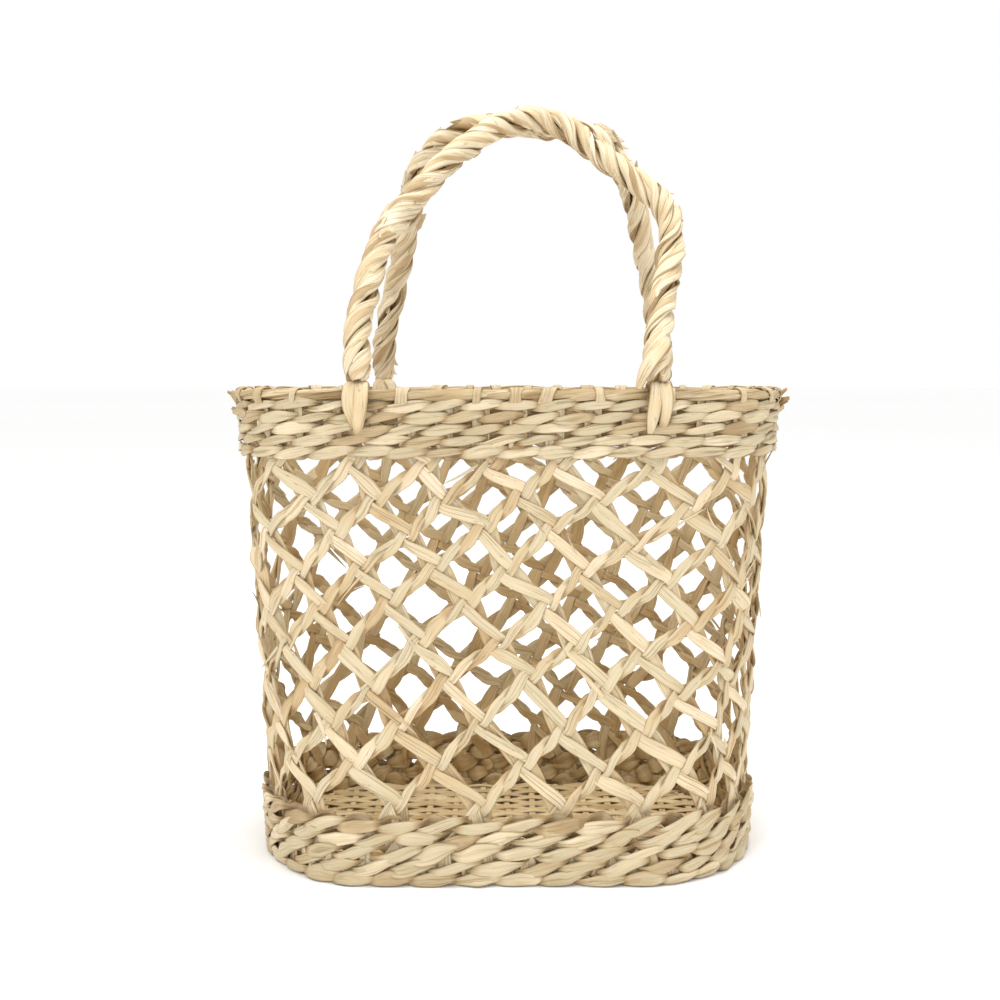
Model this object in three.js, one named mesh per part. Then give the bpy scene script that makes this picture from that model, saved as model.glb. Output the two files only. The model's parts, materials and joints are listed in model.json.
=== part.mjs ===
// Seagrass basket with an open crossed-stake wall and two rope handles.
// Millimetres, +Z up, origin on the ground under the middle of the floor.
// The front faces -Y. Every piece is a closed solid of its own, and pieces that
// touch on the real basket keep a small gap here.
import * as THREE from 'three';

// Outer size of the basket
const basketHeight = 230;
const rimWidth = 273;
const rimDepth = 132;
const rimCornerRadius = 46;

// How much narrower and shallower the base is than the rim, and half the straight part
// that its rounded ends keep
const baseWidthTaper = 24;
const baseDepthTaper = 2;
const baseEndHalfStraight = 1;
const baseWidth = rimWidth - baseWidthTaper;
const baseDepth = rimDepth - baseDepthTaper;
const baseCornerRadius = baseDepth / 2 - baseEndHalfStraight;

// Gap kept between pieces that touch
const fitGap = 0.3;

// Stakes: pairs of flat blades that lean both ways and cross on the open wall.
// Each pair is one flat strap here.
const stakesPerLean = 20;
const stakeWidth = 9;
const stakeThickness = 1.6;
const crossingGap = 0.5;
const crossingMargin = 0.6;
const crossingRows = 10;
const topCrossingDrop = 4.1;
const lowCrossingRise = 6;
const legBendDrop = 14;
const rightLeanShare = 0.4;
const startShare = -0.16;

// The stakes stand further apart on the broad faces than on the narrow ones, most of all
// at the base: how much further there, and how fast that fades towards the rim
const baseSpreadShare = 0.32;
const spreadFadePower = 2;

// Twined rows below the rim, and the folded border on top of them
const rimRowCount = 5;
const rimRowHeight = 5.1;
const rimRowThickness = 2.8;
const borderHeight = 4.4;
const rowClearance = 0.9;

// Twined rows of the base wall, and the woven floor inside them
const baseRowCount = 5;
const baseRowHeight = 5.9;
const baseRowThickness = 3.4;
const matThickness = 4;

// Rope handles: a loop of thick rope that stands on a lashing over the rim at each foot
const ropeDiameter = 13.5;
const handleTopHeight = 375;
const handleHalfSpan = 70;
const handleTopGap = 2.5;
const ropeSteps = 36;
const ropeSides = 8;
const lashingWidth = 13;
const lashingThickness = 3.4;
const lashingOuterDrop = 18;
const lashingInnerDrop = 9;
const lashingSteps = 4;

// Faces along each rounded corner
const cornerSteps = 10;

// Shares of a twined row's section that are rounded off on its outer side
const rowRoundHeightShare = 0.28;
const rowRoundDepthShare = 0.45;
const lowRowRoundHeightShare = 0.5;
const lowRowRoundDepthShare = 0.75;

// Handle centre lines seen from the front, foot to foot:
// across in shares of the half span, up in shares of the rise above the pivot
const frontHandleShares = [
  [-1, 0], [-1.01, 0.12], [-0.97, 0.27], [-0.91, 0.42], [-0.8, 0.56], [-0.64, 0.67], [-0.47, 0.79],
  [-0.24, 0.9], [-0.01, 0.98], [0.24, 1], [0.47, 0.94], [0.72, 0.82], [0.94, 0.72], [1.07, 0.65],
  [1.14, 0.55], [1.13, 0.43], [1.06, 0.27], [1.01, 0.12], [0.98, 0],
];
const backHandleShares = [
  [-1.01, 0], [-0.99, 0.14], [-0.91, 0.31], [-0.82, 0.49], [-0.77, 0.65], [-0.71, 0.78], [-0.59, 0.89],
  [-0.38, 0.97], [-0.11, 1], [0.19, 1], [0.47, 0.985], [0.7, 0.94], [0.86, 0.85], [0.98, 0.72],
  [1.05, 0.57], [1.13, 0.4], [1.21, 0.22], [1.28, 0],
];

// Layers through the wall, measured outwards from the middle of the crossed stakes
const stakeLayer = (stakeThickness + crossingGap) / 2;
const latticeHalf = stakeLayer + stakeThickness / 2;
const rowInner = latticeHalf + rowClearance;
const rimRowOuter = rowInner + rimRowThickness;
const baseRowOuter = rowInner + baseRowThickness;

// Heights
const baseRowPitch = baseRowHeight + fitGap;
const baseBandTop = baseRowCount * baseRowPitch;
const rimRowPitch = rimRowHeight + fitGap;
const borderUnderside = basketHeight - borderHeight;
const rimBandUnderside = borderUnderside - rimRowCount * rimRowPitch;
const topCrossingHeight = rimBandUnderside - topCrossingDrop;
const lowCrossingHeight = baseBandTop + lowCrossingRise;
const crossingPitch = (topCrossingHeight - lowCrossingHeight) / (crossingRows - 1);

// Handle pivots
const ropeRadius = ropeDiameter / 2;
const pivotHeight = basketHeight + fitGap + lashingThickness + fitGap + ropeRadius;
const rimMiddle = rimDepth / 2 - (rimRowOuter + latticeHalf) / 2;
const handleTopInset = (ropeDiameter + handleTopGap) / 2;

const seagrass = {
  stake: { color: 0xdcc79a, roughness: 0.62 },
  row: { color: 0xd6c094, roughness: 0.68 },
  border: { color: 0xd9bc85, roughness: 0.7 },
  mat: { color: 0xbfa878, roughness: 0.8 },
  rope: { color: 0xe2cfa6, roughness: 0.6 },
  lashing: { color: 0xe9d5b8, roughness: 0.6 },
};

const basket = new THREE.Group();

function addPiece(name, geometry, finish) {
  const material = new THREE.MeshStandardMaterial({ ...finish, metalness: 0 });
  const mesh = new THREE.Mesh(geometry, material);
  mesh.name = name;
  basket.add(mesh);
  return mesh;
}

// Skin over a row of sections with the same number of corners: a closed loop,
// or a bar with an end face at both sides. The outline is the section laid flat.
function skinSections(sections, endOutline) {
  const sides = sections[0].length;
  const positions = sections.flat().flatMap((p) => [p.x, p.y, p.z]);
  const spans = endOutline ? sections.length - 1 : sections.length;
  const faces = [];
  for (let step = 0; step < spans; step += 1) {
    const near = step * sides;
    const far = ((step + 1) % sections.length) * sides;
    for (let side = 0; side < sides; side += 1) {
      const next = (side + 1) % sides;
      faces.push(near + side, near + next, far + next);
      faces.push(near + side, far + next, far + side);
    }
  }
  if (endOutline) {
    const last = (sections.length - 1) * sides;
    const turn = THREE.ShapeUtils.isClockWise(endOutline) ? -1 : 1;
    for (const [a, b, c] of THREE.ShapeUtils.triangulateShape(endOutline, [])) {
      const [second, third] = turn > 0 ? [b, c] : [c, b];
      faces.push(a, third, second);
      faces.push(last + a, last + second, last + third);
    }
  }
  const geometry = new THREE.BufferGeometry();
  geometry.setAttribute('position', new THREE.Float32BufferAttribute(positions, 3));
  geometry.setIndex(faces);
  return turnedOutwards(geometry);
}

// Six times the volume inside the faces is negative when they point inwards
function turnedOutwards(geometry) {
  const corner = geometry.getAttribute('position');
  const faces = Array.from(geometry.getIndex().array);
  const a = new THREE.Vector3();
  const b = new THREE.Vector3();
  const c = new THREE.Vector3();
  let sixVolumes = 0;
  for (let at = 0; at < faces.length; at += 3) {
    a.fromBufferAttribute(corner, faces[at]);
    b.fromBufferAttribute(corner, faces[at + 1]);
    c.fromBufferAttribute(corner, faces[at + 2]);
    sixVolumes += a.dot(b.cross(c));
  }
  if (sixVolumes < 0) {
    faces.reverse();
    geometry.setIndex(faces);
  }
  geometry.computeVertexNormals();
  return geometry;
}

// Half sizes and corner radius of the wall's middle surface at a height
function planAt(height) {
  const up = height / basketHeight;
  const blend = (base, rim) => THREE.MathUtils.lerp(base, rim, up);
  return {
    halfWidth: blend(baseWidth / 2 - baseRowOuter, rimWidth / 2 - rimRowOuter),
    halfDepth: blend(baseDepth / 2 - baseRowOuter, rimDepth / 2 - rimRowOuter),
    radius: blend(baseCornerRadius - baseRowOuter, rimCornerRadius - rimRowOuter),
  };
}

// The plan outline's corners in the order they are met from the middle of the front
function cornersOf(plan) {
  const x = plan.halfWidth - plan.radius;
  const y = plan.halfDepth - plan.radius;
  return [
    { x, y: -y, start: -Math.PI / 2 },
    { x, y, start: 0 },
    { x: -x, y, start: Math.PI / 2 },
    { x: -x, y: -y, start: Math.PI },
  ];
}

// How far the spread of the stakes moves a place along the wall, as a share of the way round
function spreadShift(share, height) {
  const spread = baseSpreadShare * (1 - height / basketHeight) ** spreadFadePower;
  return (spread * Math.sin(4 * Math.PI * share)) / (4 * Math.PI);
}

// A point of the wall's middle surface, and the level direction out of the wall there.
// The share counts the stakes once round the basket from the middle of the front, to the right.
function wallPoint(share, height) {
  const plan = planAt(height);
  const arc = (plan.radius * Math.PI) / 2;
  const flatX = plan.halfWidth - plan.radius;
  const flatY = plan.halfDepth - plan.radius;
  const flatsAfter = [2 * flatY, 2 * flatX, 2 * flatY, flatX];
  const wayRound = 4 * (flatX + flatY + arc);
  const place = share + spreadShift(share, height);
  let distance = THREE.MathUtils.euclideanModulo(place, 1) * wayRound - flatX;
  if (distance <= 0) {
    return faceThrough({ x: flatX, y: -flatY }, -Math.PI / 2, plan.radius, distance, height);
  }
  for (const [index, corner] of cornersOf(plan).entries()) {
    if (distance <= arc) {
      return faceThrough(corner, corner.start + distance / plan.radius, plan.radius, 0, height);
    }
    distance -= arc;
    if (distance <= flatsAfter[index]) {
      return faceThrough(corner, corner.start + Math.PI / 2, plan.radius, distance, height);
    }
    distance -= flatsAfter[index];
  }
  return faceThrough({ x: flatX, y: -flatY }, -Math.PI / 2, plan.radius, -flatX, height);
}

// A point of the outline that faces the given angle from a corner's centre,
// moved along the outline's own direction there
function faceThrough(centre, angle, radius, along, height) {
  const out = new THREE.Vector3(Math.cos(angle), Math.sin(angle), 0);
  const point = new THREE.Vector3(centre.x, centre.y, height);
  point.addScaledVector(out, radius);
  point.addScaledVector(new THREE.Vector3(-out.y, out.x, 0), along);
  return { point, out };
}

// The wall's own frame at a point: outwards square to the sloping surface
function wallFrame(share, height) {
  const here = wallPoint(share, height);
  const above = wallPoint(share, height + crossingPitch);
  const rising = above.point.clone().sub(here.point);
  const level = new THREE.Vector3(-here.out.y, here.out.x, 0);
  const out = level.cross(rising).normalize();
  return { point: here.point, out };
}

// Rings that follow the plan outline

// One loop of sections round the basket; the profile is a list of [outwards, height]
function ringAround(height, profile) {
  const sections = [];
  const plan = planAt(height);
  for (const corner of cornersOf(plan)) {
    for (let step = 0; step <= cornerSteps; step += 1) {
      const angle = corner.start + ((Math.PI / 2) * step) / cornerSteps;
      const section = profile.map(([outwards, z]) => new THREE.Vector3(
        corner.x + Math.cos(angle) * (plan.radius + outwards),
        corner.y + Math.sin(angle) * (plan.radius + outwards),
        z,
      ));
      sections.push(section);
    }
  }
  return skinSections(sections, null);
}

// A twined row: flat inside, rounded outside
function rowProfile(bottom, rowHeight, thickness) {
  const top = bottom + rowHeight;
  const outer = rowInner + thickness;
  const roundUp = rowHeight * rowRoundHeightShare;
  const roundIn = thickness * rowRoundDepthShare;
  return [
    [rowInner, bottom],
    [outer - roundIn, bottom],
    [outer, bottom + roundUp],
    [outer, top - roundUp],
    [outer - roundIn, top],
    [rowInner, top],
  ];
}

// The lowest row curls under the basket, so its outer lower side is rounded further
function lowestRowProfile() {
  const profile = rowProfile(0, baseRowHeight, baseRowThickness);
  profile[1][0] = baseRowOuter - baseRowThickness * lowRowRoundDepthShare;
  profile[2][1] = baseRowHeight * lowRowRoundHeightShare;
  return profile;
}

function addBaseRows() {
  for (let row = 0; row < baseRowCount; row += 1) {
    const bottom = row * baseRowPitch;
    const profile = row === 0 ? lowestRowProfile() : rowProfile(bottom, baseRowHeight, baseRowThickness);
    addPiece(`base_row_${row + 1}`, ringAround(bottom + baseRowHeight / 2, profile), seagrass.row);
  }
}

function addRimRows() {
  for (let row = 0; row < rimRowCount; row += 1) {
    const bottom = rimBandUnderside + row * rimRowPitch;
    const profile = rowProfile(bottom, rimRowHeight, rimRowThickness);
    addPiece(`rim_row_${row + 1}`, ringAround(bottom + rimRowHeight / 2, profile), seagrass.row);
  }
}

// The folded border covers the stake ends and the top row
function addRimBorder() {
  const roundUp = borderHeight * rowRoundHeightShare;
  const roundIn = rimRowThickness * rowRoundDepthShare;
  const profile = [
    [-latticeHalf, borderUnderside],
    [rimRowOuter, borderUnderside],
    [rimRowOuter, basketHeight - roundUp],
    [rimRowOuter - roundIn, basketHeight],
    [roundIn - latticeHalf, basketHeight],
    [-latticeHalf, basketHeight - roundUp],
  ];
  addPiece('rim_border', ringAround(basketHeight, profile), seagrass.border);
}

// The woven floor: a plate that fills the lowest row
function addFloorMat() {
  const plan = planAt(baseRowHeight / 2);
  const reach = plan.radius + rowInner - fitGap;
  const outline = new THREE.Shape();
  for (const corner of cornersOf(plan)) {
    for (let step = 0; step <= cornerSteps; step += 1) {
      const angle = corner.start + ((Math.PI / 2) * step) / cornerSteps;
      const x = corner.x + Math.cos(angle) * reach;
      const y = corner.y + Math.sin(angle) * reach;
      if (outline.curves.length === 0 && step === 0) {
        outline.moveTo(x, y);
      } else {
        outline.lineTo(x, y);
      }
    }
  }
  outline.closePath();
  const plate = new THREE.ExtrudeGeometry(outline, { depth: matThickness, bevelEnabled: false });
  addPiece('floor_mat', plate, seagrass.mat);
}

// Stakes

// Where a stake meets a crossing row, as a share of the way round.
// Going down, right stakes move to the right and left stakes to the left.
function stakeShare(leansRight, index, row) {
  const drift = leansRight ? rightLeanShare : rightLeanShare - 1;
  return (index + startShare + drift * row) / stakesPerLean;
}

function crossingHeight(row) {
  return topCrossingHeight - row * crossingPitch;
}

// Flat section of a stake, across its own direction of travel
function stakeSection(centre, out, travel) {
  const across = out.clone().cross(travel).normalize();
  const side = across.multiplyScalar(stakeWidth / 2);
  const face = out.clone().multiplyScalar(stakeThickness / 2);
  return [
    centre.clone().add(side).add(face),
    centre.clone().add(side).sub(face),
    centre.clone().sub(side).sub(face),
    centre.clone().sub(side).add(face),
  ];
}

// The same section laid flat, for the faces at a stake's ends
function stakeOutline() {
  const side = stakeWidth / 2;
  const face = stakeThickness / 2;
  return [
    new THREE.Vector2(side, face),
    new THREE.Vector2(side, -face),
    new THREE.Vector2(-side, -face),
    new THREE.Vector2(-side, face),
  ];
}

// The layer of a stake at a crossing: over the other one on one row and under it on the next
function crossingLayer(leansRight, row) {
  const over = (row % 2 === 0) === leansRight;
  return over ? stakeLayer : -stakeLayer;
}

// Two sections on either side of a crossing, so the stake lies flat there
function crossingSections(leansRight, index, row) {
  const at = (where) => wallFrame(stakeShare(leansRight, index, where), crossingHeight(where));
  const frame = at(row);
  const travel = at(row + 1).point.sub(at(row - 1).point);
  travel.addScaledVector(frame.out, -travel.dot(frame.out)).normalize();
  const centre = frame.point.addScaledVector(frame.out, crossingLayer(leansRight, row));
  const reach = stakeWidth / 2 + crossingMargin;
  return [-reach, reach].map((along) => stakeSection(
    centre.clone().addScaledVector(travel, along),
    frame.out,
    travel,
  ));
}

// A stake's section inside a band of rows
function uprightSection(share, height, travel, layer) {
  const frame = wallFrame(share, height);
  const centre = frame.point.addScaledVector(frame.out, layer);
  return stakeSection(centre, frame.out, travel);
}

function stakeGeometry(leansRight, index) {
  const down = new THREE.Vector3(0, 0, -1);
  const topShare = stakeShare(leansRight, index, -1 / 2);
  const lowShare = stakeShare(leansRight, index, crossingRows - 1 / 2);
  const topBend = topCrossingHeight + crossingPitch / 2;
  const bendTravel = (share, row) => {
    const from = wallPoint(share, crossingHeight(row)).point;
    const other = stakeShare(leansRight, index, row + 1);
    const to = wallPoint(other, crossingHeight(row + 1)).point;
    return to.sub(from).normalize().add(down).normalize();
  };
  const sections = [
    uprightSection(topShare, borderUnderside - fitGap, down, stakeLayer),
    uprightSection(topShare, topBend, bendTravel(stakeShare(leansRight, index, -1), -1), stakeLayer),
  ];
  for (let row = 0; row < crossingRows; row += 1) {
    sections.push(...crossingSections(leansRight, index, row));
  }
  const lastRow = crossingRows - 1;
  const lastShare = stakeShare(leansRight, index, lastRow);
  const lowBend = baseBandTop - legBendDrop;
  const lowLayer = crossingLayer(leansRight, lastRow);
  sections.push(uprightSection(lowShare, lowBend, bendTravel(lastShare, lastRow), lowLayer));
  sections.push(uprightSection(lowShare, matThickness + fitGap, down, stakeLayer));
  return skinSections(sections, stakeOutline());
}

function addStakes() {
  for (let index = 0; index < stakesPerLean; index += 1) {
    const number = String(index + 1).padStart(2, '0');
    addPiece(`right_stake_${number}`, stakeGeometry(true, index), seagrass.stake);
    addPiece(`left_stake_${number}`, stakeGeometry(false, index), seagrass.stake);
  }
}

// Handles

// The rope's round foot turns on the pivot line, so its end is a half ball about it
function ropeGeometry(centreShares, facing) {
  const rise = handleTopHeight - ropeRadius - pivotHeight;
  const lean = rimMiddle - handleTopInset;
  const points = centreShares.map(([across, up]) => new THREE.Vector3(
    across * handleHalfSpan,
    facing * (rimMiddle - up * lean),
    pivotHeight + up * rise,
  ));
  const line = new THREE.CatmullRomCurve3(points);
  const planeNormal = new THREE.Vector3(0, rise, facing * lean).normalize();
  const sections = [];
  const outline = [];
  for (let step = 0; step < ropeSides; step += 1) {
    const angle = (2 * Math.PI * (step + 1 / 2)) / ropeSides;
    outline.push(new THREE.Vector2(Math.cos(angle), Math.sin(angle)));
  }
  const addSection = (centre, travel, radius) => {
    const side = planeNormal.clone().cross(travel).normalize();
    sections.push(outline.map((corner) => {
      const spot = centre.clone().addScaledVector(side, radius * corner.x);
      return spot.addScaledVector(planeNormal, radius * corner.y);
    }));
  };
  const roundEnd = (centre, travel, ways) => {
    for (const angle of ways) {
      const beyond = centre.clone().addScaledVector(travel, ropeRadius * Math.sin(angle));
      addSection(beyond, travel, ropeRadius * Math.cos(angle));
    }
  };
  roundEnd(line.getPointAt(0), line.getTangentAt(0), [-Math.PI / 3, -Math.PI / 6]);
  for (let step = 0; step <= ropeSteps; step += 1) {
    addSection(line.getPointAt(step / ropeSteps), line.getTangentAt(step / ropeSteps), ropeRadius);
  }
  roundEnd(line.getPointAt(1), line.getTangentAt(1), [Math.PI / 6, Math.PI / 3]);
  return skinSections(sections, outline);
}

// Where the middle of the rim band is this far across, as a share of the way round
function rimShareAcross(across, facing) {
  const plan = planAt(basketHeight);
  const flatX = plan.halfWidth - plan.radius;
  const flatY = plan.halfDepth - plan.radius;
  const wayRound = 4 * (flatX + flatY + (plan.radius * Math.PI) / 2);
  const beyond = Math.max(0, Math.abs(across) - flatX);
  const middleRadius = plan.radius + (rimRowOuter - latticeHalf) / 2;
  const turned = Math.asin(Math.min(1, beyond / middleRadius)) * plan.radius;
  const distance = Math.sign(across) * (Math.abs(across) - beyond + turned);
  return facing < 0 ? distance / wayRound : 1 / 2 - distance / wayRound;
}

// A lashing straddles the rim under a rope foot and follows the rim's outline:
// down the outer face of the rows, over the border, and a short way down inside
function lashingGeometry(across, facing) {
  const outer = rimRowOuter + fitGap;
  const inner = -latticeHalf - fitGap;
  const top = basketHeight + fitGap;
  const outerEnd = basketHeight - lashingOuterDrop;
  const innerEnd = basketHeight - lashingInnerDrop;
  const skin = lashingThickness;
  const profile = [
    new THREE.Vector2(outer, outerEnd),
    new THREE.Vector2(outer + skin / 2, outerEnd),
    new THREE.Vector2(outer + skin, outerEnd + skin),
    new THREE.Vector2(outer + skin, top),
    new THREE.Vector2(outer, top + skin),
    new THREE.Vector2(inner, top + skin),
    new THREE.Vector2(inner - skin, top),
    new THREE.Vector2(inner - skin, innerEnd),
    new THREE.Vector2(inner, innerEnd),
    new THREE.Vector2(inner, top),
    new THREE.Vector2(outer, top),
  ];
  const plan = planAt(basketHeight);
  const corner = (plan.radius * Math.PI) / 2;
  const wayRound = 4 * (plan.halfWidth + plan.halfDepth - 2 * plan.radius + corner);
  const middle = rimShareAcross(across, facing);
  const sections = [];
  for (let step = 0; step <= lashingSteps; step += 1) {
    const along = (step / lashingSteps - 1 / 2) * lashingWidth;
    const { point, out } = wallPoint(middle + along / wayRound, basketHeight);
    sections.push(profile.map((place) => {
      const spot = point.clone().addScaledVector(out, place.x);
      spot.z = place.y;
      return spot;
    }));
  }
  return skinSections(sections, profile);
}

function addHandle(place, facing, centreShares) {
  addPiece(`${place}_handle`, ropeGeometry(centreShares, facing), seagrass.rope);
  const feet = [centreShares[0], centreShares[centreShares.length - 1]];
  for (const [index, foot] of feet.entries()) {
    const hand = index === 0 ? 'left' : 'right';
    const lashing = lashingGeometry(foot[0] * handleHalfSpan, facing);
    addPiece(`${place}_${hand}_lashing`, lashing, seagrass.lashing);
  }
}

addFloorMat();
addBaseRows();
addStakes();
addRimRows();
addRimBorder();
addHandle('front', -1, frontHandleShares);
addHandle('back', 1, backHandleShares);

export default basket;
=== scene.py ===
# %% [markdown]
# # A woven seagrass basket
# The real basket is made by hand from dried seagrass: flat folded blades are crossed into an
# open wall, twined rows hold them at the rim and the base, and two rope handles stand on the rim.
# Everything here is one kind of thing, a blade that follows a path, so most of the lesson is about
# drawing good paths in numpy and giving them a skin with one Geometry Nodes tree.

# %% Load the frame
import json
import math

import bpy
import numpy as np
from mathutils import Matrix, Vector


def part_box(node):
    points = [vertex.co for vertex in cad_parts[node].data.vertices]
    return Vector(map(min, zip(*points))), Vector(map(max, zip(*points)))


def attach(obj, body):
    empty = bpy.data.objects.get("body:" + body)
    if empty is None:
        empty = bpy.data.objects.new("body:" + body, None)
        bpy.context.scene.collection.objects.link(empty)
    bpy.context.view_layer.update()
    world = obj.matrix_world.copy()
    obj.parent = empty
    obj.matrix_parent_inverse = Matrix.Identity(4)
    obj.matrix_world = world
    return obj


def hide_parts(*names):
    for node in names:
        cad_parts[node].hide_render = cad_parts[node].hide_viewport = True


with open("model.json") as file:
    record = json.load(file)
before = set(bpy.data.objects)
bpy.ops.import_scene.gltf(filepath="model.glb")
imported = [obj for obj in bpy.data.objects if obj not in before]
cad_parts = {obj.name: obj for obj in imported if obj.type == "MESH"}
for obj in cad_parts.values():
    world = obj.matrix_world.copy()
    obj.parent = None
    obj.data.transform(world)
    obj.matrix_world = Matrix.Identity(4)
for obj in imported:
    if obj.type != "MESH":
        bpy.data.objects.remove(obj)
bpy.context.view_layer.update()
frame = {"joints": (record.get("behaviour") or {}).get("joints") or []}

# %% [markdown]
# ## Sizes
# The solids say where everything is. Paths are worked out in millimetres, because that is how a
# basket is measured, and one factor turns them to metres when a mesh is made.

# %% Sizes of the wall
MM = 0.001
HEIGHT = 230.0
# half width, half depth and corner radius of the wall's middle surface, on the ground and at the rim
BASE_PLAN = (118.35, 58.85, 57.85)
RIM_PLAN = (130.95, 60.45, 40.45)
STAKES = 20
# in spacings of the stakes: where the first one stands, and how far each leans from row to row
START = -0.16
LEAN = {"right": 0.4, "left": -0.6}
# how much further apart the stakes stand on the broad faces, at the ground
SPREAD = 0.32
# rows of crossings, with the heights of the highest and the lowest one
ROWS = 10
TOP_CROSSING, LOW_CROSSING = 194.5, 37.0
PITCH = (TOP_CROSSING - LOW_CROSSING) / (ROWS - 1)
# height of both handles' pivots, as the frame has it
PIVOT = frame["joints"][0]["pos_m"][2] / MM
print("crossing pitch", round(PITCH, 2), "mm, pivot height", round(PIVOT, 2), "mm")


# %% [markdown]
# ## Camera
# The photograph was taken from straight ahead, level with the upper wall, and the horizon lies above
# the middle of the picture. A level camera with a vertical shift keeps upright edges upright, which a
# tilted camera would not.

# %% Camera
def make_camera(eye, lens, shift):
    """A level camera that looks along +Y; eye is in mm, shift in widths of the picture"""
    data = bpy.data.cameras.new("camera")
    data.lens = lens
    data.shift_y = shift
    data.clip_start, data.clip_end = 0.01, 20.0
    camera = bpy.data.objects.new("camera", data)
    camera.location = [v * MM for v in eye]
    camera.rotation_euler = (math.radians(90), 0, 0)
    bpy.context.collection.objects.link(camera)
    bpy.context.scene.camera = camera


make_camera(eye=(-3.7, -574.0, 237.0), lens=39.74, shift=-0.125)
print("camera 508 mm in front of the wall, 237 mm up")


# %% [markdown]
# ## Light and floor
# The photograph is a high-key studio shot: white all round, with one large soft light from above the
# left shoulder. Area lights and a bright world give that, and the floor is a plain white sweep.

# %% Studio
def hex_colour(code):
    """sRGB hex to the linear colour that Blender computes with"""
    parts = [int(code[i:i + 2], 16) / 255 for i in (1, 3, 5)]
    return [c / 12.92 if c <= 0.04045 else ((c + 0.055) / 1.055) ** 2.4 for c in parts] + [1.0]


def node(tree, kind, inputs=(), output=0, **settings):
    """Adds a node with its settings; inputs are (socket, another node's output or a value)"""
    made = tree.nodes.new(kind)
    for key, value in settings.items():
        setattr(made, key, value)
    for socket, source in dict(inputs).items():
        if isinstance(source, bpy.types.NodeSocket):
            tree.links.new(source, made.inputs[socket])
        else:
            made.inputs[socket].default_value = source
    return made.outputs[output] if made.outputs else made


MATH, VECTOR, MIX = "ShaderNodeMath", "ShaderNodeVectorMath", "ShaderNodeMix"


def area_light(name, place, aim, size, power):
    """A round soft light; place, aim and size in metres, power in watts"""
    data = bpy.data.lights.new(name, "AREA")
    data.shape = "DISK"
    data.size = size
    data.energy = power
    light = bpy.data.objects.new(name, data)
    light.location = place
    towards = [a - p for a, p in zip(aim, place)]
    light.rotation_mode = "QUATERNION"
    light.rotation_quaternion = Vector(towards).to_track_quat("-Z", "Y")
    bpy.context.collection.objects.link(light)


def white_room():
    # the plain response keeps the straw colours as they are and lets the white room stay white
    bpy.context.scene.view_settings.view_transform = "Standard"
    world = bpy.data.worlds.new("white_room")
    world.use_nodes = True
    air = world.node_tree.nodes["Background"]
    air.inputs["Color"].default_value = (1, 1, 1, 1)
    air.inputs["Strength"].default_value = 1.0
    bpy.context.scene.world = world
    area_light("key", place=(-0.6, -1.0, 1.4), aim=(0, 0, 0.12), size=0.5, power=7)
    area_light("fill", place=(1.1, -0.9, 0.7), aim=(0, 0, 0.12), size=1.0, power=1.5)
    area_light("top", place=(0.1, -0.1, 1.3), aim=(0, 0, 0.1), size=0.4, power=7)


def paper_floor(reach):
    """A flat sheet that reaches so many metres to each side, far past the edge of the picture"""
    mesh = bpy.data.meshes.new("floor")
    corners = [(-reach, -reach, 0), (reach, -reach, 0), (reach, reach, 0), (-reach, reach, 0)]
    mesh.from_pydata(corners, [], [(0, 1, 2, 3)])
    floor = bpy.data.objects.new("floor", mesh)
    # matt white paper: it has no gloss and an almost even white, with a faint grain
    paper = bpy.data.materials.new("white_paper")
    paper.use_nodes = True
    tree = paper.node_tree
    shader = tree.nodes["Principled BSDF"]
    shader.inputs["Roughness"].default_value = 0.9
    grain = node(tree, "ShaderNodeTexNoise", {"Scale": 40.0})
    tint = node(tree, MIX, {0: grain, 6: hex_colour("#FFFFFF"), 7: hex_colour("#FBFBFA")}, output=2,
                data_type="RGBA")
    tree.links.new(tint, shader.inputs["Base Color"])
    mesh.materials.append(paper)
    bpy.context.collection.objects.link(floor)


white_room()
paper_floor(reach=60.0)
print("white room, key, fill and top light, floor")


# %% [markdown]
# ## The wall's surface
# The wall is a rounded rectangle that grows towards the rim. A place on it is a share of the way
# round and a height, so a stake is a straight line in those two numbers, just as it is for the weaver.

# %% Points on the wall
UP = np.array([0, 0, 1.0])


def plan_at(z):
    """Half width, half depth and corner radius of the wall at a height"""
    up = np.asarray(z, float) / HEIGHT
    return [base + (rim - base) * up for base, rim in zip(BASE_PLAN, RIM_PLAN)]


def way_round(z):
    half_w, half_d, radius = plan_at(z)
    return 4 * (half_w + half_d - 2 * radius + radius * math.pi / 2)


def wall(share, z):
    """Point of the middle surface and the level direction out of it"""
    share, z = np.broadcast_arrays(np.asarray(share, float), np.asarray(z, float))
    half_w, half_d, radius = plan_at(z)
    flat_x, flat_y = half_w - radius, half_d - radius
    arc = radius * math.pi / 2
    spread = SPREAD * (1 - z / HEIGHT) ** 2
    place = share + spread * np.sin(4 * math.pi * share) / (4 * math.pi)
    turn = np.mod(place, 1.0) * 4
    quarter = np.minimum(np.floor(turn), 3)
    part = turn - quarter
    distance = np.where(quarter % 2 == 0, part, 1 - part) * (flat_x + arc + flat_y)
    angle = np.clip((distance - flat_x) / radius, 0, math.pi / 2)
    x = np.minimum(distance, flat_x) + radius * np.sin(angle)
    y = flat_y + radius * np.cos(angle) - np.maximum(0, distance - flat_x - arc)
    side_x = np.where(quarter < 2, 1, -1)
    side_y = np.where((quarter == 0) | (quarter == 3), -1, 1)
    point = np.stack([side_x * x, side_y * y, z], -1)
    out = np.stack([side_x * np.sin(angle), side_y * np.cos(angle), 0 * z], -1)
    return point, out


def unit(v):
    return v / np.maximum(np.linalg.norm(v, axis=-1, keepdims=True), 1e-9)


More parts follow.
